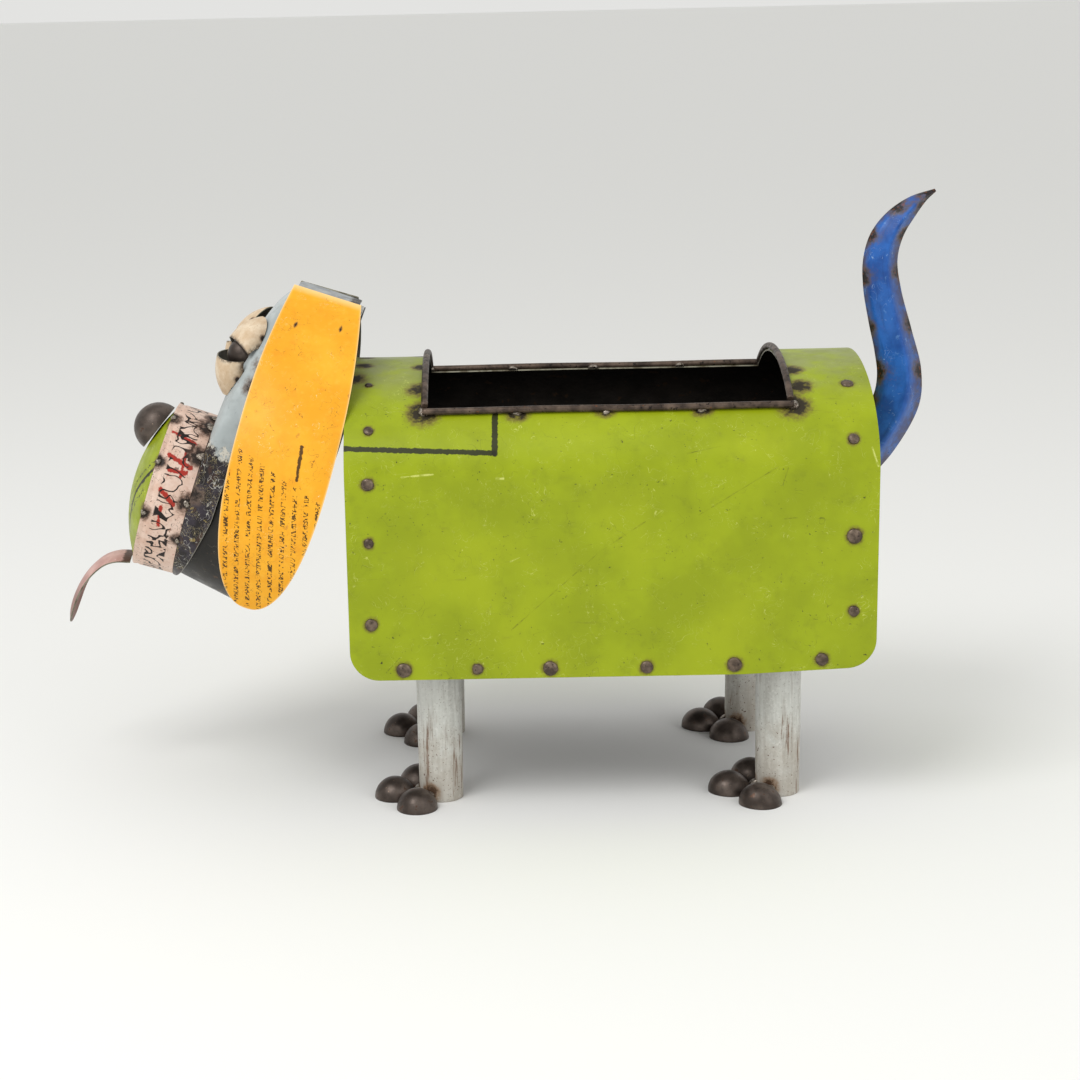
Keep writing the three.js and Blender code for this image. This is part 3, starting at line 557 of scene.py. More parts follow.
pipe = Finish("leg_pipe_paint")
low = pipe.parts_of(pipe.place)[2]
upright = pipe.stretched(pipe.place, (1, 1, 0.12))
pipe.ground(pipe.fade(pipe.noise(9, 5, 0.65, upright), 0.35, 0.7), "d2d3cd", "b3b2ab")
pipe.coat(pipe.fade(pipe.noise(3, 3, 0.6), 0.45, 0.75, 0, 0.5), "e2e2dd")
drips = pipe.fade(pipe.noise(7, 4, 0.7, pipe.stretched(pipe.place, (1, 1, 0.07))), 0.56, 0.68)
dirt = pipe.fade(low, 130, 5, -0.05, 0.75)
dirt = pipe.sum(dirt, pipe.times(pipe.less(pipe.noise(17, 5, 0.7), 0.5), 1.3))
pipe.coat(pipe.fade(dirt, 0.15, 0.8), "94826c", 0.42)
pipe.coat(pipe.times(drips, pipe.fade(dirt, 0.0, 0.6, 0.25, 0.95)), "6d4c33")
specks = pipe.times(pipe.patches(2.0, 0.35, 0.03, 2.0), pipe.fade(dirt, -0.1, 0.6, 0.35, 1))
pipe.coat(specks, "5a3a26")
chips = pipe.times(pipe.patches(6, 0.35, 0.02, 5.0), pipe.fade(dirt, 0.0, 0.7, 0.2, 1))
pipe.coat(chips, "4c2c1b")
pipe.scorch(brown="8a6c50", black="4a3526")
relief = pipe.less(pipe.times(pipe.noise(1.3, 3), 0.4), pipe.times(chips, 0.7))
pipe_paint = pipe.done(pipe.gloss(5, 0.42, 0.66), relief, 0.15)

# The pipe's section, from the top down its outside, under its wall and up its bore. The outside
# wavers by up to half a millimetre.
outer_z = np.linspace(PIPE_TOP - PIPE_EDGE, PIPE_EDGE, 70)
bore_z = [0, 0, PIPE_EDGE, PIPE_TOP - PIPE_EDGE, PIPE_TOP, PIPE_TOP]
bore_inset = [PIPE_EDGE, PIPE_WALL - PIPE_EDGE, PIPE_WALL, PIPE_WALL, PIPE_WALL - PIPE_EDGE, PIPE_EDGE]
height = np.concatenate([[PIPE_TOP], outer_z, bore_z])[:, None]
inset = np.concatenate([[PIPE_EDGE], 0 * outer_z, bore_inset])[:, None]
for name, (x, side) in LEGS.items():
    around = np.linspace(0, 2 * np.pi, 65)
    waver = 0.25 * (1 + np.sin(height / 37 + 2 * around + x))
    radius = PIPE_RADIUS - inset - waver * (inset == 0)
    leg_grid = np.stack(
        [
            BODY_X + x + radius * np.cos(around),
            side * LEG_SPREAD - radius * np.sin(around),
            np.repeat(height, len(around), 1),
        ],
        -1,
    )
    foot_heat = []
    for along, out in ((-0.5, -0.9), (-1, 0.2)):
        place = (BODY_X + x + PIPE_RADIUS * along, side * LEG_SPREAD + PIPE_RADIUS * out, 9)
        foot_heat.append((place, 9))
    leg = lay("pipe_" + name, leg_grid, burn=near_spots(leg_grid, foot_heat))
    dress(leg, [pipe_paint], "leg_pipe", "leg_" + name)


# Toes: three pressed steel half balls at each foot, spread like claws and welded to the pipe.
TOE_RADIUS = 19.3
TOE_WALL = 2.0
TOE_REACH = PIPE_RADIUS + TOE_RADIUS + 0.3
MIDDLE_GAP = 3.5
TOE_SPREAD = {"front": np.radians(57), "rear": np.radians(62)}

claw = Finish("toe_steel")
claw.ground(claw.fade(claw.noise(16, 4), 0.35, 0.7), "413934", "6b6059")
claw.coat(claw.fade(claw.noise(4, 4, 0.7), 0.45, 0.75, 0, 0.6), "3a2c25")
claw.coat(claw.patches(3, 0.25), "96816f")
claw.coat(claw.patches(8, 0.55), "523a2c", 0.7)
claw_gloss = claw.gloss(6, 0.3, 0.48, 5)
relief = claw.sum(claw.noise(1.6, 4, 0.7), claw.times(claw.noise(9, 3), 1.2))
toe_steel = claw.done(claw_gloss, relief, 0.14, Metallic=0.6)


def half_ball(centre, radius, wall, point=0.0, rows=20, columns=48):
    """A hollow half ball on the ground: up the outside is radius x (sine, cosine) of a fall from the
    top, then under the rim and up the inside. point draws the top out a little towards the front."""
    fall = np.linspace(0, np.pi / 2, rows)[::-1, None]
    around = np.linspace(0, 2 * np.pi, columns + 1)[None]
    sets = []
    for r, angles in ((radius, fall), (radius - wall, fall[::-1])):
        out, up = r * np.sin(angles), r * np.cos(angles)
        lead = point * up / radius
        in_front = (point > 0) * (np.cos(around) < 0)
        x = out * np.cos(around) * (1 + 0.1 * in_front * np.cos(around) ** 2) - lead
        sets.append(np.stack([x, out * np.sin(around), up + 0 * around], -1))
    # Inside first, from its top to its rim, then the outside from its rim to the top.
    grid = np.concatenate([sets[1], sets[0]])
    return grid + np.array([*centre, 0.0])


weld_spots = []
for name, (x, side) in LEGS.items():
    spread = TOE_SPREAD[name.split("_")[0]]
    toes, nodes = [], []
    for label, turn in (("outer", side), ("middle", 0), ("inner", -side)):
        away = np.pi - turn * spread
        reach = TOE_REACH + (MIDDLE_GAP if turn == 0 else 0)
        centre = (BODY_X + x + reach * np.cos(away), side * LEG_SPREAD + reach * np.sin(away))
        toes.append(half_ball(centre, TOE_RADIUS, TOE_WALL, 2.0 if "rear" in name else 0.0))
        nodes.append("toe_" + name + "_" + label)
        touch = PIPE_RADIUS + 1
        spot = (BODY_X + x + touch * np.cos(away), side * LEG_SPREAD + touch * np.sin(away), 7.0)
        facing = np.array([np.cos(away), np.sin(away), 0.9])
        weld_spots.append((spot, facing / np.linalg.norm(facing)))
    dress(lay("toes_" + name, np.array(toes)), [toe_steel], "bare_steel", *nodes)


# Tail: two strips of blue bottle steel, creased into a hollow S that stands up from the rear wall
# and runs out to a point over the back. The edges are welded every few centimetres and burnt there.
TAIL_INNER = [
    (224.3, 322),
    (243, 340),
    (258, 360),
    (262, 380),
    (259, 405),
    (253, 432),
    (247, 466),
    (246.5, 492),
    (253, 516),
    (268, 535.5),
    (289, 549.5),
    (312, 556.5),
]
TAIL_OUTER = [
    (224.3, 243),
    (252, 275),
    (281, 309),
    (303, 352),
    (304, 386),
    (294, 424),
    (283, 463),
    (279, 491),
    (284, 513),
    (295, 532),
    (305, 546),
    (313.5, 554),
]
TAIL_DEPTH = [22, 21.5, 20.5, 19.5, 19, 17.5, 16, 15, 13.5, 10.5, 6.5, 1.2]
TAIL_SECTION = [(0, 0), (0.16, 0.5), (0.62, 1), (1, 0)]


def curve(points, count):
    """A smooth line through points. Each span is a cubic between two points, with their slopes from
    the points either side, weighted by the root of their distances."""
    points = np.asarray(points, float)
    points = points.reshape(len(points), -1)
    padded = np.vstack([2 * points[0] - points[1], points, 2 * points[-1] - points[-2]])
    gaps = np.sum(np.diff(padded, axis=0) ** 2, 1)[:, None] ** 0.25
    steps = np.diff(padded, axis=0) / gaps
    slopes = steps[:-1] + steps[1:] - (padded[2:] - padded[:-2]) / (gaps[:-1] + gaps[1:])
    along = np.linspace(0, len(points) - 1, count)
    span = np.minimum(along.astype(int), len(points) - 2)
    share = (along - span)[:, None]
    start, end, width = points[span], points[span + 1], gaps[1:-1][span]
    leave, arrive = slopes[span] * width, slopes[span + 1] * width
    bend = 3 * (end - start) - 2 * leave - arrive
    return start + leave * share + bend * share**2 + (2 * (start - end) + leave + arrive) * share**3


def rounded(corners, share=0.12, steps=5):
    """A line of corners with each inner corner eased into a short curve."""
    corners = np.asarray(corners, float)
    mixed = np.linspace(0, 1, steps)[:, None]
    line = [corners[:1]]
    for before, corner, after in zip(corners[:-2], corners[1:-1], corners[2:]):
        start, end = corner + share * (before - corner), corner + share * (after - corner)
        line.append((1 - mixed) ** 2 * start + 2 * mixed * (1 - mixed) * corner + mixed**2 * end)
    return np.vstack([*line, corners[-1:]])


tail_rows = 190
inner, outer = curve(TAIL_INNER, tail_rows), curve(TAIL_OUTER, tail_rows)
depth = curve(TAIL_DEPTH, tail_rows)[:, 0]
section = rounded(TAIL_SECTION)
section = np.vstack([section, section[::-1][1:] * (1, -1)])
tail_x = inner[:, :1] + section[None, :, 0] * (outer - inner)[:, :1]
tail_z = inner[:, 1:] + section[None, :, 0] * (outer - inner)[:, 1:]
tail_y = -section[None, :, 1] * (depth[:, None] + 0.15)
tail_grid = np.stack([BODY_X + tail_x, tail_y, tail_z], -1)
tail_steps = np.linalg.norm(np.diff(0.5 * (inner + outer), axis=0), axis=1)
tail_length = np.concatenate([[0], np.cumsum(tail_steps)])[:, None]
TAIL_INNER_WELDS = [(0.17, 9), (0.3, 12), (0.44, 8), (0.58, 10), (0.72, 9), (0.86, 11), (0.985, 14)]
TAIL_OUTER_WELDS = [(0.12, 10), (0.36, 11), (0.47, 9), (0.6, 8), (0.74, 9), (0.88, 9)]
tail_burns = []
for edge, welds in ((inner, TAIL_INNER_WELDS), (outer, TAIL_OUTER_WELDS)):
    for share, size in welds:
        x, z = edge[int(share * (tail_rows - 1))]
        tail_burns.append(((BODY_X + x, 0, z), size))
tail_place = (tail_length, 40 * section[None, :, 0], 1000 * np.sign(tail_y))
tail_place = np.stack(np.broadcast_arrays(*tail_place), -1)
tail_width = np.linalg.norm(outer - inner, axis=1)[:, None]
edge_gap = np.minimum(section[:, 0], 1 - section[:, 0])[None] * tail_width
tail_edge = np.exp(-((edge_gap / 2.2) ** 2))

blue = Finish("blue_tail_paint")
flat = blue.mark_place()
along_tail = blue.stretched(flat, (0.12, 1, 1))
blue.ground(blue.fade(blue.noise(22, 4), 0.35, 0.7), "1c4a92", "2a64b4")
blue.coat(blue.fade(blue.noise(5, 4, 0.7, along_tail), 0.5, 0.75, 0, 0.45), "17376e")
blue.coat(blue.patches(9, 0.35), "5f8cc4", 0.5)
blue.coat(blue.hairlines(9, 0.008, 0.8, twist=1.0), "9db8d6", 0.7)
blue.coat(blue.patches(2.4, 0.2), "14233f", 0.7)
worn = blue.times(blue.mark("edge"), blue.fade(blue.noise(7, 4), 0.36, 0.6))
blue.coat(worn, "54402f", 0.85)
blue.scorch(brown="5b5048", black="1b1512")
blue.coat(blue.times(blue.mark("burn"), blue.patches(3.2, 0.75)), "7a4524")
relief = blue.sum(blue.times(blue.noise(12, 3), 1.2), blue.times(blue.noise(1.1), 0.25))
gloss = blue.gloss(14, 0.26, 0.44, 4, burnt=0.25)
tail_paint = blue.done(gloss, relief, 0.15)
# Both ends are closed by drawing their last row together to a point.
tail_ends = np.repeat(tail_grid[[0, -1]].mean(1, keepdims=True), len(section), 1)
tail_grid = np.vstack([tail_ends[:1], tail_grid, tail_ends[1:]])
tail_place = np.vstack([tail_place[:1], tail_place, tail_place[-1:]])
tail_edge = np.vstack([tail_edge[:1], tail_edge, tail_edge[-1:]])
tail = lay("tail", tail_grid, place=tail_place, burn=near_spots(tail_grid, tail_burns), edge=tail_edge)
dress(tail, [tail_paint], "tail_paint", "tail_near", "tail_far")


# Head: a hood cut from a second drum, leaning 18 degrees back on the body's front. Its face sheet
# is folded over the forehead and cheeks; a dark jaw closes it from below, just inside the cheeks.
BODY_TOP = SPRING + ARCH_RISE
HEAD_TILT = np.radians(18)
SNOUT_UP = -169.0
HOOD = [
    (2.3, 96, 52.5, 2.6),
    (63.6, 88.5, 54.5, 2.6),
    (76.6, 86, 44.5, 2.7),
    (87.6, 84, 23, 2.8),
    (98.6, 82, -13, 2.6),
    (105, 80.6, -61, 2.2),
    (106.5, 80.2, -89.8, 2),
]
HOOD_REAR, HOOD_BEND, HOOD_FRONT = HOOD[0][0], HOOD[1][0], HOOD[-1][0]
HOOD_TOP = HOOD[1][2]
BACK_RAKE = 0.07
JAW_TOP = np.radians(80)
JAW_INSET = 4.7


def on_head(forward, across, up):
    """From lengths in the head's own frame, forward from the body's front edge, to the part's frame."""
    forward, across, up = np.broadcast_arrays(forward, across, up)
    x = BODY_X - HALF_LENGTH - 0.3 - forward * np.cos(HEAD_TILT) + up * np.sin(HEAD_TILT)
    return np.stack([x, across, BODY_TOP + forward * np.sin(HEAD_TILT) + up * np.cos(HEAD_TILT)], -1)


def hood(turn, forward, inset=0.0):
    """The hood's skin in the head's frame. Over the top each cross-section is a squared ellipse
    (sine and cosine of the turn raised to two over its squareness), below the snout's centre a
    half circle. Width, height and squareness run evenly from station to station, slightly eased."""
    stations, *columns = np.array(HOOD).T
    reach = np.minimum(5.0, np.minimum(forward - HOOD_REAR, HOOD_FRONT - forward))
    looks = [forward - reach, forward - 0.5 * reach, forward, forward + 0.5 * reach, forward + reach]
    wide, top, square = (np.mean([np.interp(f, stations, column) for f in looks], 0) for column in columns)
    half = wide - inset
    over = np.cos(turn) >= 0
    power = np.where(over, 2 / square, 1.0)
    side = np.sign(np.sin(turn)) * np.abs(np.sin(turn)) ** power
    high = (top - SNOUT_UP - inset) * np.maximum(np.cos(turn), 0) ** power
    up = np.where(over, high, half * np.cos(turn)) + SNOUT_UP
    rake = BACK_RAKE * np.clip((HOOD_BEND - forward) / (HOOD_BEND - HOOD_REAR), 0, 1) * (up - HOOD_TOP)
    return forward - rake, half * side, up


face_forward = [np.linspace(HOOD_FRONT, HOOD_BEND, 110)[:-1], np.linspace(HOOD_BEND, HOOD_REAR, 34)]
face_forward = np.concatenate(face_forward)[:, None]
cheek_edge = np.radians(np.maximum(84, 92 + 3.2 * (face_forward - 82)))
face_turn = (1 - 2 * np.linspace(0, 1, 181)[None]) * cheek_edge
face_local = hood(face_turn, face_forward)
face_grid = on_head(*face_local)
face_place = np.stack(np.broadcast_arrays(*face_local), -1)
rim_gap = np.minimum((cheek_edge - np.abs(face_turn)) * 85, face_forward - HOOD_REAR)
face_edge = np.exp(-((rim_gap / 2.0) ** 2))
# Burns on the face: forward, across, up and size.
HEAD_WELDS = [
    (8, -96, -100, 15),
    (6, -94, -40, 10),
    (6, 95, -90, 14),
    (4, -30, 50, 9),
    (104, -50, -105, 10),
    (86, -77, -14, 10),
    (83, -80, -36, 9),
    (105, -20, -90, 9),
    (102, -76, -150, 9),
    (100, 60, -110, 9),
]
face_burns = [(on_head(f, y, h), size) for f, y, h, size in HEAD_WELDS]

drum = Finish("face_drum_paint")
own = drum.mark_place()
forward_of, _, up_of = drum.parts_of(own)
# The pale blue paint of the drum's top ends in a ragged line down each cheek; in front of and below
# it the sheet is the dark printed side of the drum, scratched through to pale and ochre layers.
wander = drum.times(drum.less(drum.noise(21, 5, 0.7, own), 0.5), 60)
border = drum.sum(drum.sum(up_of, wander), drum.times(drum.less(forward_of, 60), -0.35))
dark_side = drum.fade(border, -112, -118)
drum.ground(drum.fade(drum.noise(38, 4), 0.35, 0.7), "a3aaaa", "bcc3c3")
drum.coat(drum.fade(drum.noise(12, 5, 0.7), 0.5, 0.75, 0, 0.5), "8c9090")
drum.coat(drum.patches(7, 0.3, 0.05), "7d5a44", 0.8)
drum.coat(drum.patches(2.2, 0.16), "4b433d", 0.7)
drum.coat(drum.hairlines(12, 0.008, 0.9, twist=1.0), "6a7077", 0.6)
brow = drum.colour
drum.ground(drum.fade(drum.noise(17, 4), 0.4, 0.6), "211c1c", "38323a")
drum.coat(drum.patches(13, 0.7, 0.02, 5.0, drum.stretched(own, (1, 1, 0.5))), "3c2b26")
drum.coat(drum.patches(8, 0.42, 0.02, 5.0), "8e7c4c", 0.9)
drum.coat(drum.patches(5, 0.24, 0.02, 5.0), "a7a9ad", 0.9)
drum.coat(drum.hairlines(11, 0.012, 1.3, twist=1.5), "b9b7ae")
drum.coat(drum.hairlines(6, 0.016, 1.2, twist=2.5), "a89a72")
drum.colour = drum.over(dark_side, brow, drum.colour)
worn_line = drum.fade(drum.size_of(drum.sum(border, 115)), 3.2, 1.0)
drum.coat(drum.times(worn_line, drum.fade(drum.noise(6), 0.4, 0.6)), "cfcabd")
drum.coat(drum.mark("edge"), "b3aea2", 0.75)
drum.scorch(brown="6e5c50", black="211a17")
relief = drum.sum(drum.times(drum.noise(16, 3), 1.4), drum.times(drum.noise(1.2), 0.25))
gloss = drum.gloss(18, 0.3, 0.46, 4, burnt=0.25)
face_paint = drum.done(gloss, relief, 0.15)

dark = Finish("jaw_dark_paint")
dark.ground(dark.fade(dark.noise(24, 4), 0.35, 0.7), "1e1c19", "2c2925")
dark.coat(dark.patches(9, 0.45), "4f3a2a", 0.8)
dark.coat(dark.hairlines(13, 0.008, 0.9), "7d776b", 0.6)
jaw_gloss = dark.gloss(12, 0.28, 0.45, 4)
dark_paint = dark.done(jaw_gloss, dark.noise(10, 3), 0.2)

grey = Finish("head_inside_grey")
grey.ground(grey.fade(grey.noise(22, 4), 0.35, 0.7), "4a463f", "6a645a")
inside_grey = grey.done(grey.gloss(8, 0.45, 0.65), grey.noise(3), 0.12)

face = lay("face", face_grid, place=face_place, burn=near_spots(face_grid, face_burns), edge=face_edge)
dress(thicken(face), [face_paint, inside_grey, cut_edge], "face_sheet", "face_sheet")

jaw_forward = np.linspace(HOOD_FRONT, HOOD_REAR, 70)[:, None]
jaw_turn = np.pi + (1 - 2 * np.linspace(0, 1, 121)[None]) * (np.pi - JAW_TOP)
jaw = lay("jaw", on_head(*hood(jaw_turn, jaw_forward, JAW_INSET)))
dress(thicken(jaw), [dark_paint, inside_grey, cut_edge], "jaw_paint", "jaw_sheet")
head_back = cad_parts["head_back"]
head_back.data.materials.clear()
head_back.data.materials.append(dark_paint)


# Crown: a grey strap over the top of the head, rolled down at the forehead, to which the ears are
# welded.
STRAP_TOP = 59.0
STRAP_FRONT = 63.0
STRAP_REAR = 6.0
STRAP_LIP = 4.0
STRAP_HALF = 39.6
EAR_CENTRE = {"near": 36.8, "far": 38.8}

strap_u, strap_v = np.linspace(0, 1, 60)[:, None], np.linspace(0, 1, 70)[None]
lip_turn = (1 - np.minimum(1, strap_u / 0.3)) * np.pi / 2
strap_flat = STRAP_FRONT + (STRAP_REAR - STRAP_FRONT) * np.maximum(0, (strap_u - 0.3) / 0.7)
strap_end = STRAP_HALF - 0.1 * (strap_flat - EAR_CENTRE["near"])
strap_side = 1 - 2 * strap_v
strap_up = STRAP_TOP - 5 * np.maximum(0, strap_side) ** 2 - 0.03 * (STRAP_FRONT - strap_flat)
strap_local = np.broadcast_arrays(
    strap_flat + STRAP_LIP * np.sin(lip_turn),
    strap_end * strap_side,
    strap_up - STRAP_LIP * (1 - np.cos(lip_turn)),
)
strap_grid = on_head(*strap_local)

crown = Finish("crown_grey_paint")
toward_back = crown.fade(crown.parts_of(crown.mark_place())[0], 22, 8)
crown.ground(crown.fade(crown.noise(16, 4), 0.35, 0.7), "7d8286", "a2a6a6")
crown.coat(crown.patches(6, 0.45), "5b5048", 0.75)
soot = crown.fade(crown.sum(toward_back, crown.times(crown.less(crown.noise(8, 4), 0.5), 0.9)), 0.3, 0.7)
crown.coat(soot, "1f1b18")
crown.coat(crown.hairlines(8, 0.01, 0.9), "cfd1cf", 0.7)
crown_paint = crown.done(crown.gloss(9, 0.32, 0.5), crown.noise(5, 4), 0.2)
strap = lay("strap_sheet", strap_grid, place=np.stack(strap_local, -1))
dress(thicken(strap), [crown_paint, inside_grey, cut_edge], "crown_paint", "crown_strap")


# Snout: a cream drum band with what is left of bold black brush marks on it, closed at the front by
# a pressed lime green lid. The nose is a steel half ball welded to the lid.
BAND_FRONT, BAND_REAR = 146.5, 106.8
BAND_RADIUS = (80.5, 79.5)
CAP_RADIUS = 78.7
CAP_RISE = 24.0
CAP_FORWARD = BAND_FRONT - 2
NOSE_RADIUS = 24.2
NOSE_OFFSET = 53.4

band_share = np.linspace(0, 1, 34)[:, None]
band_turn = -np.linspace(-np.pi, np.pi, 241)[None]
band_radius = BAND_RADIUS[0] + (BAND_RADIUS[1] - BAND_RADIUS[0]) * band_share + 0 * band_turn
band_forward = BAND_FRONT + (BAND_REAR - BAND_FRONT) * band_share + 0 * band_turn
# A shallow bead runs round the band's front edge, where the lid was crimped on.
band_radius = band_radius - 0.6 * np.exp(-(((BAND_FRONT - 4.5 - band_forward) / 1.6) ** 2))
band_across, band_up = band_radius * np.sin(band_turn), band_radius * np.cos(band_turn)
band_grid = on_head(band_forward, band_across, band_up + SNOUT_UP)
band_place = (BAND_RADIUS[0] * band_turn, band_forward - BAND_REAR, 0.0)
band_place = np.stack(np.broadcast_arrays(*band_place), -1)


def on_band(turn, forward):
    """A place on the band's outer face, and the way it faces, at a turn in degrees from the top."""
    angle = np.radians(turn)
    spot = on_head(forward, BAND_RADIUS[0] * np.sin(angle), BAND_RADIUS[0] * np.cos(angle) + SNOUT_UP)
    centre = on_head(forward, 0, SNOUT_UP)
    return spot, (spot - centre) / np.linalg.norm(spot - centre)


# Welds along the band's rear edge and round the lid: degrees from the top, forward and size.
BAND_WELDS = [
    (-22, 108, 14),
    (-8, 108, 10),
    (-50, 108, 12),
    (-84, 108, 9),
    (-112, 108, 7),
    (40, 108, 9),
    (100, 108, 8),
]
LID_WELDS = [(-24, 145, 8), (-62, 145, 7), (-98, 145, 7), (15, 145, 6), (60, 145, 6), (120, 145, 6)]
band_burns = [(on_band(turn, forward)[0], size) for turn, forward, size in BAND_WELDS + LID_WELDS]

printed = Finish("band_print")
flat = printed.mark_place()
printed.ground(printed.fade(printed.noise(20, 4), 0.35, 0.7), "d9b9a6", "e8cfc0")
printed.coat(printed.fade(printed.noise(6, 4, 0.7), 0.48, 0.75, 0, 0.5), "c69a86")
printed.coat(printed.patches(7, 0.3, 0.04, 5.0), "b0594a", 0.8)
printed.coat(printed.patches(8, 0.3, 0.04, 5.0), "8a6048", 0.8)
brush_grain = printed.times(printed.less(printed.noise(5, 5, 0.75), 0.5), 6.5)
# Red brush marks, from (length round the band, forward) to the same, with half the width.
RED_MARKS = [
    ((-52, 34), (-58, 10), 1.6),
    ((-78, 30), (-84, 8), 2.4),
    ((-92, 26), (-90, 10), 2.2),
    ((-70, 16), (-96, 14), 1.4),
    ((-112, 28), (-122, 14), 2.4),
    ((-128, 24), (-146, 22), 1.6),
    ((62, 30), (74, 10), 2.2),
    ((118, 26), (132, 14), 2.0),
]
for start, end, half_width in RED_MARKS:
    mark = printed.stroke(flat, (*start, 0), (*end, 0), half_width, 0.5, brush_grain)
    printed.coat(mark, "ab2f22")
# Black brush curls run along the middle of the band. They carry no letters: they are the level
# lines of a slow noise, thicker and thinner as its slope changes.
band_forward_of = printed.parts_of(flat)[1]
middle = printed.size_of(printed.less(band_forward_of, 19.5))
curls = printed.noise(11, 0.5, 0.5, printed.stretched(flat, (1.25, 0.8, 1), (0, 0, np.radians(20))), 0.5)
curls = printed.fade(printed.size_of(printed.less(curls, 0.5)), 0.052, 0.036)
curls = printed.times(curls, printed.fade(middle, 10.5, 9.0))
printed.coat(printed.times(curls, printed.fade(printed.noise(4, 4), 0.28, 0.36)), "1c1513")
cracked = printed.hairlines(9, 0.014, 1.0, twist=1.2)
printed.coat(cracked, "5b4033", 0.8)
printed.coat(printed.patches(3.2, 0.42), "4a342a", 0.75)
printed.scorch(brown="5c4234", black="1f1612")
gloss = printed.gloss(10, 0.36, 0.55, 4, burnt=0.2)
relief = printed.less(printed.times(printed.noise(9, 3), 1.0), printed.times(cracked, 0.5))
band_print = printed.done(gloss, relief, 0.15)
band = lay("band_sheet", band_grid, place=band_place, burn=near_spots(band_grid, band_burns))
dress(thicken(band), [band_print, inside_grey, dark_paint], "band_print", "snout_band")

cap_sphere = (CAP_RADIUS**2 + CAP_RISE**2) / (2 * CAP_RISE)
cap_out = CAP_RADIUS * np.concatenate([[1.0], np.linspace(0.985, 0, 46)])[:, None]
cap_turn = np.linspace(-np.pi, np.pi, 181)[None]
cap_rest = np.sqrt(cap_sphere**2 - cap_out**2) - cap_sphere + CAP_RISE
cap_forward = CAP_FORWARD + cap_rest + 0 * cap_turn
cap_local = (cap_forward, cap_out * np.sin(cap_turn), cap_out * np.cos(cap_turn) + SNOUT_UP)
cap_grid = on_head(*cap_local)
cap_place = np.stack([cap_local[1], cap_local[2] - SNOUT_UP, 0 * cap_forward], -1)
cap_burns = [(spot, size + 2) for spot, size in band_burns[len(BAND_WELDS) :]]

lid = Finish("cap_lime_paint")
flat = lid.mark_place()
lid.ground(lid.fade(lid.noise(30, 4), 0.35, 0.7), "84910c", "97a514")
lid.coat(lid.fade(lid.noise(9, 5, 0.7), 0.5, 0.78, 0, 0.55), "777f1e")
lid.coat(lid.patches(4, 0.3), "55531c", 0.7)
lid.coat(lid.hairlines(8, 0.01, 0.9, twist=1.2), "dbe07c", 0.8)
worn = lid.times(lid.less(lid.noise(2.0, 4, 0.7), 0.5), 2.4)
for start, end in (((-74, 38), (-50, -2)), ((-50, -2), (-38, -44))):
    lid.coat(lid.stroke(flat, (*start, 0), (*end, 0), 1.7, 0.4, worn), "26260f")
# Rows of short dabs of paint, broken up by wear.
DAB_ROWS = [((-70, 27), (-22, -46)), ((-62, 34), (-14, -40)), ((-66, 6), (-48, -22))]
dabs = lid.fade(lid.noise(2.4, 2, 0.5, lid.stretched(flat, (1, 0.8, 1))), 0.5, 0.56)
for start, end in DAB_ROWS:
    row = lid.stroke(flat, (*start, 0), (*end, 0), 1.6, 0.4, worn)
    lid.coat(lid.times(row, dabs), "2a2a12")
lid.scorch()
gloss = lid.gloss(14, 0.3, 0.48, 4, burnt=0.2)
cap_paint = lid.done(gloss, lid.sum(lid.noise(13, 3), lid.times(lid.noise(1.1), 0.2)), 0.2)
cap = lay("cap_sheet", cap_grid, place=cap_place, burn=near_spots(cap_grid, cap_burns))
dress(thicken(cap), [cap_paint, inside_grey, dark_paint], "cap_paint", "snout_cap")

nose_lean = np.arcsin(NOSE_OFFSET / cap_sphere)
nose_rest = np.sqrt(cap_sphere**2 - NOSE_OFFSET**2) - cap_sphere + CAP_RISE
nose_forward = CAP_FORWARD + nose_rest + 0.5 * np.cos(nose_lean)
nose_seat = on_head(nose_forward, 0, SNOUT_UP + NOSE_OFFSET + 0.5 * np.sin(nose_lean))
nose_faces = on_head(np.cos(nose_lean), 0, np.sin(nose_lean)) - on_head(0, 0, 0)
nose_grid = dome(nose_seat, nose_faces, NOSE_RADIUS, NOSE_RADIUS, 0.0, rows=26, columns=64, closed=False)
nose = lay("nose_ball", nose_grid)
dress(thicken(nose, 2.0), [toe_steel, toe_steel, toe_steel], "bare_steel", "nose")


# Eyes: steel half balls between curved upper and lower lids cut from cream sheet, turned outwards.
EYE_FORWARD, EYE_OFFSET, EYE_UP = 97.0, 42.0, -16.0
EYE_RADIUS = 13.0
EYE_YAW = np.radians(27)
BROW_LEAN = np.radians(12)
LID_HALF_LENGTH = 23.0
LID_SHEET = 1.2
# Each lid's rear and free edge, as (up, out) at the middle of its length, and 1 above or -1 below.
LIDS = {"upper": ((40, -2), (9.5, 17), 1), "lower": ((-42, 0), (-12, 21), -1)}


def on_eye(out, across, up, side):
    """From the eye's own frame, out of the socket, across and up, to the part's frame."""
    level = out * np.cos(BROW_LEAN) - up * np.sin(BROW_LEAN)
    high = out * np.sin(BROW_LEAN) + up * np.cos(BROW_LEAN)
    forward = level * np.cos(EYE_YAW) - side * across * np.sin(EYE_YAW)
    sideways = side * level * np.sin(EYE_YAW) + across * np.cos(EYE_YAW)
    return EYE_FORWARD + forward, side * EYE_OFFSET + sideways, EYE_UP + high


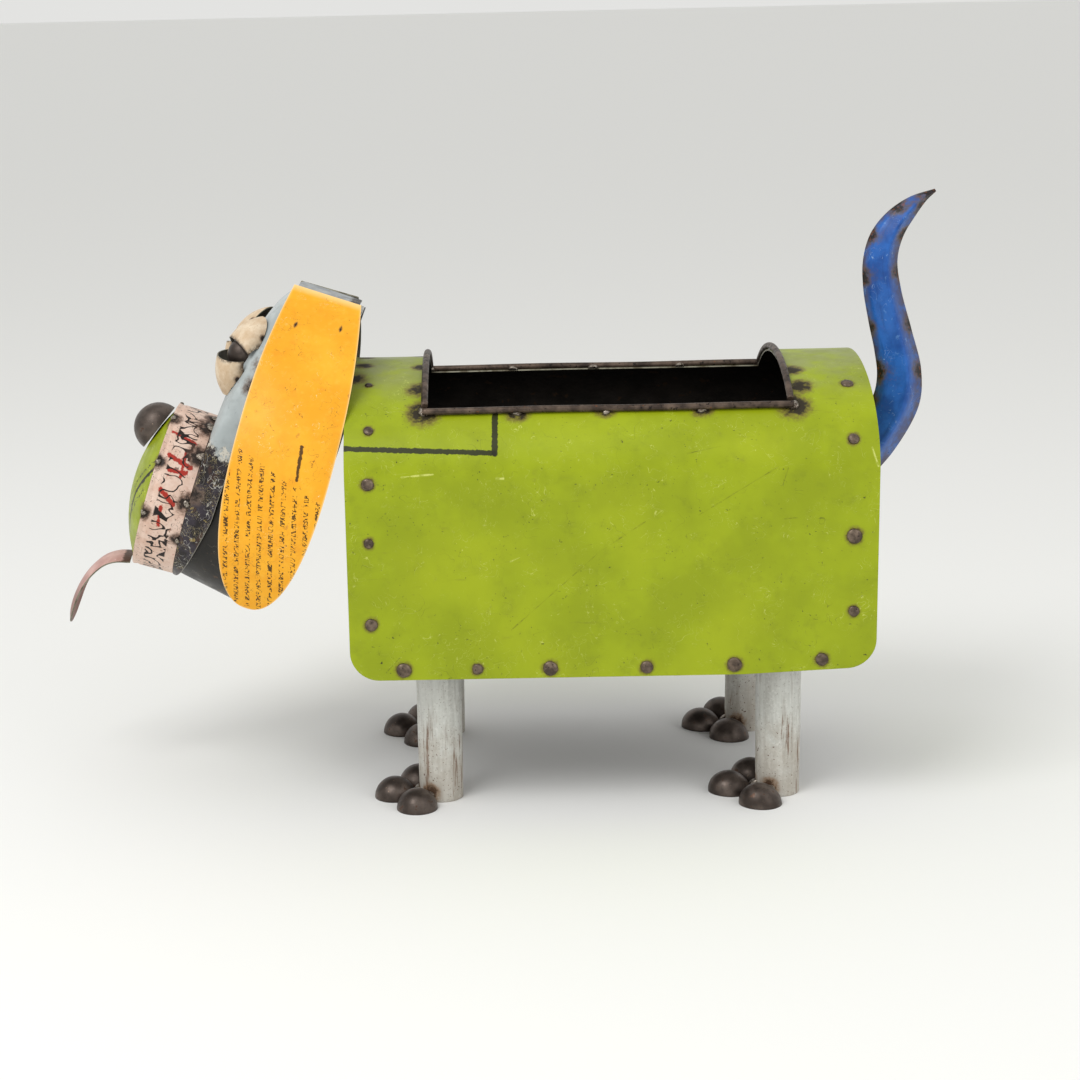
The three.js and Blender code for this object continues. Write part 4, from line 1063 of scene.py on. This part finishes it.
cream = Finish("cream_lid_paint")
cream.ground(cream.fade(cream.noise(11, 4), 0.35, 0.7), "c9b091", "dccab0")
cream.coat(cream.fade(cream.noise(2.5, 4, 0.7), 0.48, 0.75, 0, 0.5), "b59a78")
cream.coat(cream.patches(3, 0.25), "6e5540", 0.7)
cream.coat(cream.times(cream.mark("edge"), cream.fade(cream.noise(4), 0.3, 0.6)), "4a3d33")
cream.scorch(brown="6b5442", black="1c1512")
gloss = cream.gloss(6, 0.4, 0.58, burnt=0.2)
cream_paint = cream.done(gloss, cream.noise(2, 4), 0.12)

for side, name in ((-1, "near"), (1, "far")):
    fall = np.linspace(np.pi / 2, 0, 26)[:, None]
    around = np.linspace(0, 2 * np.pi, 65)[None]
    ball = on_eye(
        EYE_RADIUS * np.cos(fall) + 0 * around,
        -EYE_RADIUS * np.sin(fall) * np.sin(around),
        EYE_RADIUS * np.sin(fall) * np.cos(around),
        side,
    )
    eye = lay("eye_ball_" + name, on_head(*ball))
    dress(thicken(eye, 2.0), [toe_steel, toe_steel, toe_steel], "bare_steel", "eyeball_" + name)
    for which, (rear, free, outward) in LIDS.items():
        swing = (0.5 - np.linspace(0, 1, 81))[None] * np.radians(160) * (-outward)
        width = np.linspace(0, 1, 33)[:, None]
        reach = np.cos(swing) ** 0.65
        bulge = 16 * width * (1 - width) * reach
        up = (rear[0] + (free[0] - rear[0]) * width) * reach + outward * 0.64 * bulge
        out = (rear[1] + (free[1] - rear[1]) * width) * reach + 0.77 * bulge
        local = on_eye(out, LID_HALF_LENGTH * np.sin(swing) + 0 * width, up, side)
        # Cut away what would lie inside the hood: in the sheet's frame, where the skin is further out.
        forward, across, high = local
        stations, *columns = np.array(HOOD).T
        wide, top, square = (np.interp(forward, stations, column) for column in columns)
        inside = (np.abs(across) / (wide + 0.5)) ** square
        inside += (np.maximum(high - SNOUT_UP, 0) / (top - SNOUT_UP + 0.5)) ** square
        buried = (inside < 1) & (forward < HOOD_FRONT + 0.5)
        bury = buried[:-1, :-1] & buried[1:, 1:] & buried[:-1, 1:] & buried[1:, :-1]
        lid_grid = on_head(*local)
        corner_burns = [(lid_grid[np.argmax(~buried[:, k]), k], 3.5) for k in (8, 72)]
        tip = np.minimum(1 - width, 0.5 * (1 - np.abs(swing) / np.radians(80))) * 30
        piece = lay(
            which + "_lid_" + name,
            lid_grid,
            ~bury,
            burn=near_spots(lid_grid, corner_burns),
            edge=np.exp(-((tip / 1.6) ** 2)),
        )
        thicken(piece, LID_SHEET, 0.25)
        dress(piece, [cream_paint, inside_grey, cut_edge], "lid_paint", "lid_" + which + "_" + name)


# Ears: two long hanging leaves of orange-yellow sheet, cut from a drum with rows of small dark print
# whose marks are no longer readable. They spread away from the head as they hang.
EAR_LENGTH = 283.0
EAR_TOP = {"near": 60.5, "far": 55.0}
EAR_TOP_HALF = {"near": 32.5, "far": 28.5}
EAR_WIDE_HALF = 46.2
EAR_WIDEST = 130.0
# How far out its top edge is, how far it leans out per length of drop, and how that lessens.
EAR_OUT, EAR_SPREAD, EAR_BEND = 41.5, 1.15, 0.0028

ochre = Finish("ear_yellow_paint")
flat = ochre.mark_place()
ear_across, ear_drop, _ = ochre.parts_of(flat)
ochre.ground(ochre.fade(ochre.noise(45, 3), 0.35, 0.68), "e8a01c", "f0ad28")
ochre.coat(ochre.fade(ochre.noise(17, 4, 0.65), 0.5, 0.8, 0, 0.5), "e08a1c")
ochre.coat(ochre.fade(ochre.noise(5, 4), 0.5, 0.8, 0, 0.3), "f5c04c")
specks = ochre.times(ochre.patches(3.2, 0.22, 0.03, 3.0), ochre.fade(ochre.noise(34, 2), 0.4, 0.6))
ochre.coat(specks, "6d3f16", 0.9)
rubbed = ochre.patches(11, 0.3, 0.03, 6.0, ochre.stretched(flat, (1, 0.6, 1)))
ochre.coat(rubbed, "b4762a", 0.5)
smears = ochre.times(ochre.patches(4.5, 0.5, 0.05, 6.0), ochre.patches(22, 0.5, 0.08, 2.0))
ochre.coat(smears, "7a5f30", 0.6)
ochre.coat(ochre.hairlines(10, 0.007, 1.0, twist=1.0), "7a4a1e", 0.8)
ochre.coat(ochre.hairlines(8, 0.006, 0.7, twist=1.8), "ffe9b0", 0.8)
# Rows of small worn dabs run down the lower half, leaning forward a little. They carry no letters:
# each row is a band, broken by a fine stretched noise.
leaning = ochre.parts_of(ochre.stretched(flat, (1, 1, 1), (0, 0, np.radians(-12))))
row_phase = ochre.node("Math", {0: leaning[0], 1: 5.2}, operation="PINGPONG").outputs[0]
in_row = ochre.fade(row_phase, 2.9, 3.2)
dab_noise = ochre.noise(3.0, 1, 0.5, ochre.stretched(flat, (0.7, 1.25, 1), (0, 0, np.radians(-12))))
dabs = ochre.fade(ochre.size_of(ochre.less(dab_noise, 0.5)), 0.062, 0.048)
gaps = ochre.fade(ochre.noise(8, 1, 0.5, ochre.stretched(flat, (0.8, 0.9, 1))), 0.37, 0.4)
starts = ochre.sum(ear_drop, ochre.times(ear_across, 0.3))
print_area = ochre.times(ochre.fade(starts, 153, 154), ochre.fade(ear_drop, 281, 279))
print_area = ochre.times(print_area, ochre.fade(ochre.size_of(ear_across), 44, 43))
dabs = ochre.times(ochre.times(in_row, dabs), ochre.times(gaps, print_area))
ochre.coat(dabs, "2e2110", 0.92)
scuff = ochre.times(ochre.less(ochre.noise(4, 5, 0.75), 0.5), 5.0)
single = ochre.stroke(flat, (-14, 124, -1000), (-17, 152, -1000), 1.5, 0.5, scuff)
ochre.coat(single, "2c1a0e", 0.92)
# Painted highlight: a pale yellow line along all the ear's edges, where the rolled edge of the sheet
# catches the light.
ochre.coat(ochre.mark("edge"), "f7d79a", 0.7)
ochre.scorch(brown="8a5f2a", black="2a1c10")
gloss = ochre.gloss(26, 0.3, 0.45, 4, burnt=0.25)
relief = ochre.sum(ochre.times(ochre.noise(20, 3), 1.5), ochre.times(ochre.noise(1.1), 0.15))
ear_paint = ochre.done(gloss, relief, 0.15)

for side, name in ((-1, "near"), (1, "far")):
    drop = EAR_LENGTH * np.sin(np.pi / 2 * np.linspace(0, 1, 130)[:, None]) ** 0.9
    share = np.clip((drop - EAR_WIDEST) / (EAR_LENGTH - EAR_WIDEST), 0, 1)
    swell = (1 - np.clip(1 - drop / EAR_WIDEST, 0, 1) ** 2.4) * (EAR_WIDE_HALF - EAR_TOP_HALF[name])
    lower_half = EAR_WIDE_HALF * np.maximum(1 - share**2.3, 0.0015) ** (1 / 2.3)
    half = np.where(drop < EAR_WIDEST, EAR_TOP_HALF[name] + swell, lower_half)
    across = side * (1 - 2 * np.linspace(0, 1, 61)[None]) * half
    camber = 3 * (1 - (across / EAR_WIDE_HALF) ** 2) * np.minimum(1, drop / 90)
    away = EAR_OUT + EAR_SPREAD * drop - EAR_BEND * drop**2 - 0.1 * across + camber
    # The sheet is a little wavy: up to 1 mm inwards.
    away = away - 0.5 * (1 + np.sin(drop / 23 + across / 19)) * np.minimum(1, drop / 60)
    forward = EAR_CENTRE[name] - 0.035 * drop + across
    ear_grid = on_head(forward, side * away, EAR_TOP[name] - drop)
    place = np.stack(np.broadcast_arrays(across, drop, side * 1000.0), -1)
    gap = np.minimum(half - np.abs(across), np.minimum(drop, EAR_LENGTH - drop))
    ear_welds = [(ear_grid[5, 14], 1.3), (ear_grid[7, 46], 1.5)]
    marks = {"place": place, "burn": near_spots(ear_grid, ear_welds), "edge": np.exp(-((gap / 0.9) ** 2))}
    ear = lay("ear_sheet_" + name, ear_grid, **marks)
    dress(thicken(ear), [ear_paint, inside_grey, cut_edge], "ear_paint", "ear_" + name)


# Tongue: a curled strip of sheet, painted dusty pink, welded under the snout's lid.
TONGUE = [
    (-458.5, 221.5),
    (-473, 222),
    (-486, 218.5),
    (-499, 209),
    (-510, 196),
    (-518.5, 180),
    (-523, 166),
    (-524, 153),
]
TONGUE_HALF = 23.0
TONGUE_CUP = 4.5
TONGUE_LENGTH = 105.0

spine = curve(TONGUE, 80)
way = np.gradient(spine, axis=0)
way /= np.linalg.norm(way, axis=1, keepdims=True)
down = np.linspace(0, 1, 80)[:, None]
across = TONGUE_HALF * np.maximum(0.03, 1 - np.maximum(0, (down - 0.72) / 0.28) ** 2.4) ** 0.5
across = across * np.linspace(-1, 1, 49)[None]
cup = TONGUE_CUP * (across / TONGUE_HALF) ** 2
tongue_x = BODY_X + spine[:, :1] - way[:, 1:] * cup
tongue_grid = np.stack([tongue_x, across, spine[:, 1:] + way[:, :1] * cup], -1)

pink = Finish("tongue_pink_paint")
root = pink.fade(pink.parts_of(pink.mark_place())[0], 14, 2)
pink.ground(pink.fade(pink.noise(16, 4), 0.35, 0.7), "b48a82", "cfaaa1")
pink.coat(pink.fade(pink.noise(5, 4, 0.7), 0.5, 0.78, 0, 0.5), "9a6a62")
pink.coat(pink.patches(4, 0.25), "5d3a34", 0.7)
pink.coat(pink.hairlines(7, 0.01, 0.8), "d9b0b0", 0.7)
tip = pink.sum(pink.parts_of(pink.mark_place())[0], pink.times(pink.noise(9), 20))
tip = pink.fade(tip, 58, 84, 0, 0.75)
pink.coat(tip, "7b554d")
rusty = pink.fade(pink.sum(root, pink.times(pink.less(pink.noise(6, 4), 0.5), 0.9)), 0.35, 0.75)
pink.coat(rusty, "4c3022")
tongue_paint = pink.done(pink.gloss(8, 0.34, 0.5), pink.noise(9, 3), 0.2)
tongue_place = np.stack(np.broadcast_arrays(TONGUE_LENGTH * down, across, 0.0), -1)
tongue = lay("tongue_strip", tongue_grid, place=tongue_place)
dress(thicken(tongue), [tongue_paint, tongue_paint, cut_edge], "tongue_paint", "tongue")


# Weld metal: blobs where the rods, the toes, the snout band and its lid are tacked on.
rod_beads = [dome(s, f, 5.0, 3.4, 1.0, 0.12, 2.3 * k) for k, (s, f, width) in enumerate(tack_seats)]
dress(lay("rod_welds", np.array(rod_beads)), [weld_metal], "rim_rod")
toe_beads = [dome(s, f, 5.5, 3.6, 1.5, 0.14, 1.7 * k) for k, (s, f) in enumerate(weld_spots)]
dress(lay("toe_welds", np.array(toe_beads)), [weld_metal], "bare_steel")
seats = [(*on_band(turn, forward), size) for turn, forward, size in BAND_WELDS + LID_WELDS]
snout_beads = [dome(s, f, 0.36 * size, 1.6, 0.6, 0.14, 2.1 * k) for k, (s, f, size) in enumerate(seats)]
dress(lay("snout_welds", np.array(snout_beads)), [weld_metal], "band_print")


# The floor, the light and the camera.
def placed(right, upward, back, place):
    """The matrix of a lamp or a camera from its own three directions and its place."""
    turned = np.array([right, upward, back]).T.tolist()
    return Matrix([(*row, at) for row, at in zip(turned, place)] + [(0, 0, 0, 1)])


FLOOR = 200.0
floor_mesh = bpy.data.meshes.new("floor")
floor_corners = [(FLOOR * x, FLOOR * y, 0) for x, y in ((-1, -1), (1, -1), (1, 1), (-1, 1))]
floor_mesh.from_pydata(floor_corners, [], [(0, 1, 2, 3)])
floor = bpy.data.objects.new("floor", floor_mesh)
bpy.context.scene.collection.objects.link(floor)
studio = Finish("studio_floor")
studio.colour = paint("eeeeec")
floor_mesh.materials.append(studio.done(0.9))

world = bpy.data.worlds.new("studio")
world.use_nodes = True
world.node_tree.nodes["Background"].inputs["Color"].default_value = paint("f4f4f2")
world.node_tree.nodes["Background"].inputs["Strength"].default_value = 0.85
bpy.context.scene.world = world
for name, place, size, power, aim in (
    ("key", (-1.3, -1.6, 2.6), 1.6, 45, (0.1, 0, 0.25)),
    ("fill", (2.2, -1.8, 1.6), 2.0, 14, (0.1, 0, 0.25)),
):
    light = bpy.data.lights.new(name, "AREA")
    light.size, light.energy = size, power
    lamp = bpy.data.objects.new(name, light)
    towards = np.array(aim) - np.array(place)
    back = -towards / np.linalg.norm(towards)
    right = np.cross((0, 0, 1), back)
    right /= np.linalg.norm(right)
    upward = np.cross(back, right)
    lamp.matrix_world = placed(right, upward, back, place)
    bpy.context.scene.collection.objects.link(lamp)

bpy.context.scene.view_settings.view_transform = "Standard"
yaw, tip, roll = np.radians((-0.9, 13.56, -1.29))
ahead = np.array([np.sin(yaw) * np.cos(tip), np.cos(yaw) * np.cos(tip), -np.sin(tip)])
level = np.array([np.cos(yaw), -np.sin(yaw), 0.0])
upright = np.cross(level, ahead)
right = level * np.cos(roll) + upright * np.sin(roll)
upright = -level * np.sin(roll) + upright * np.cos(roll)
lens = bpy.data.cameras.new("camera")
lens.lens, lens.sensor_width, lens.shift_x = 73.96, 36, 0.0742
camera = bpy.data.objects.new("camera", lens)
camera_place = ((BODY_X - 106.66) * MM, -2.10005, 0.73349)
camera.matrix_world = placed(right, upright, -ahead, camera_place)
bpy.context.scene.collection.objects.link(camera)
bpy.context.scene.camera = camera
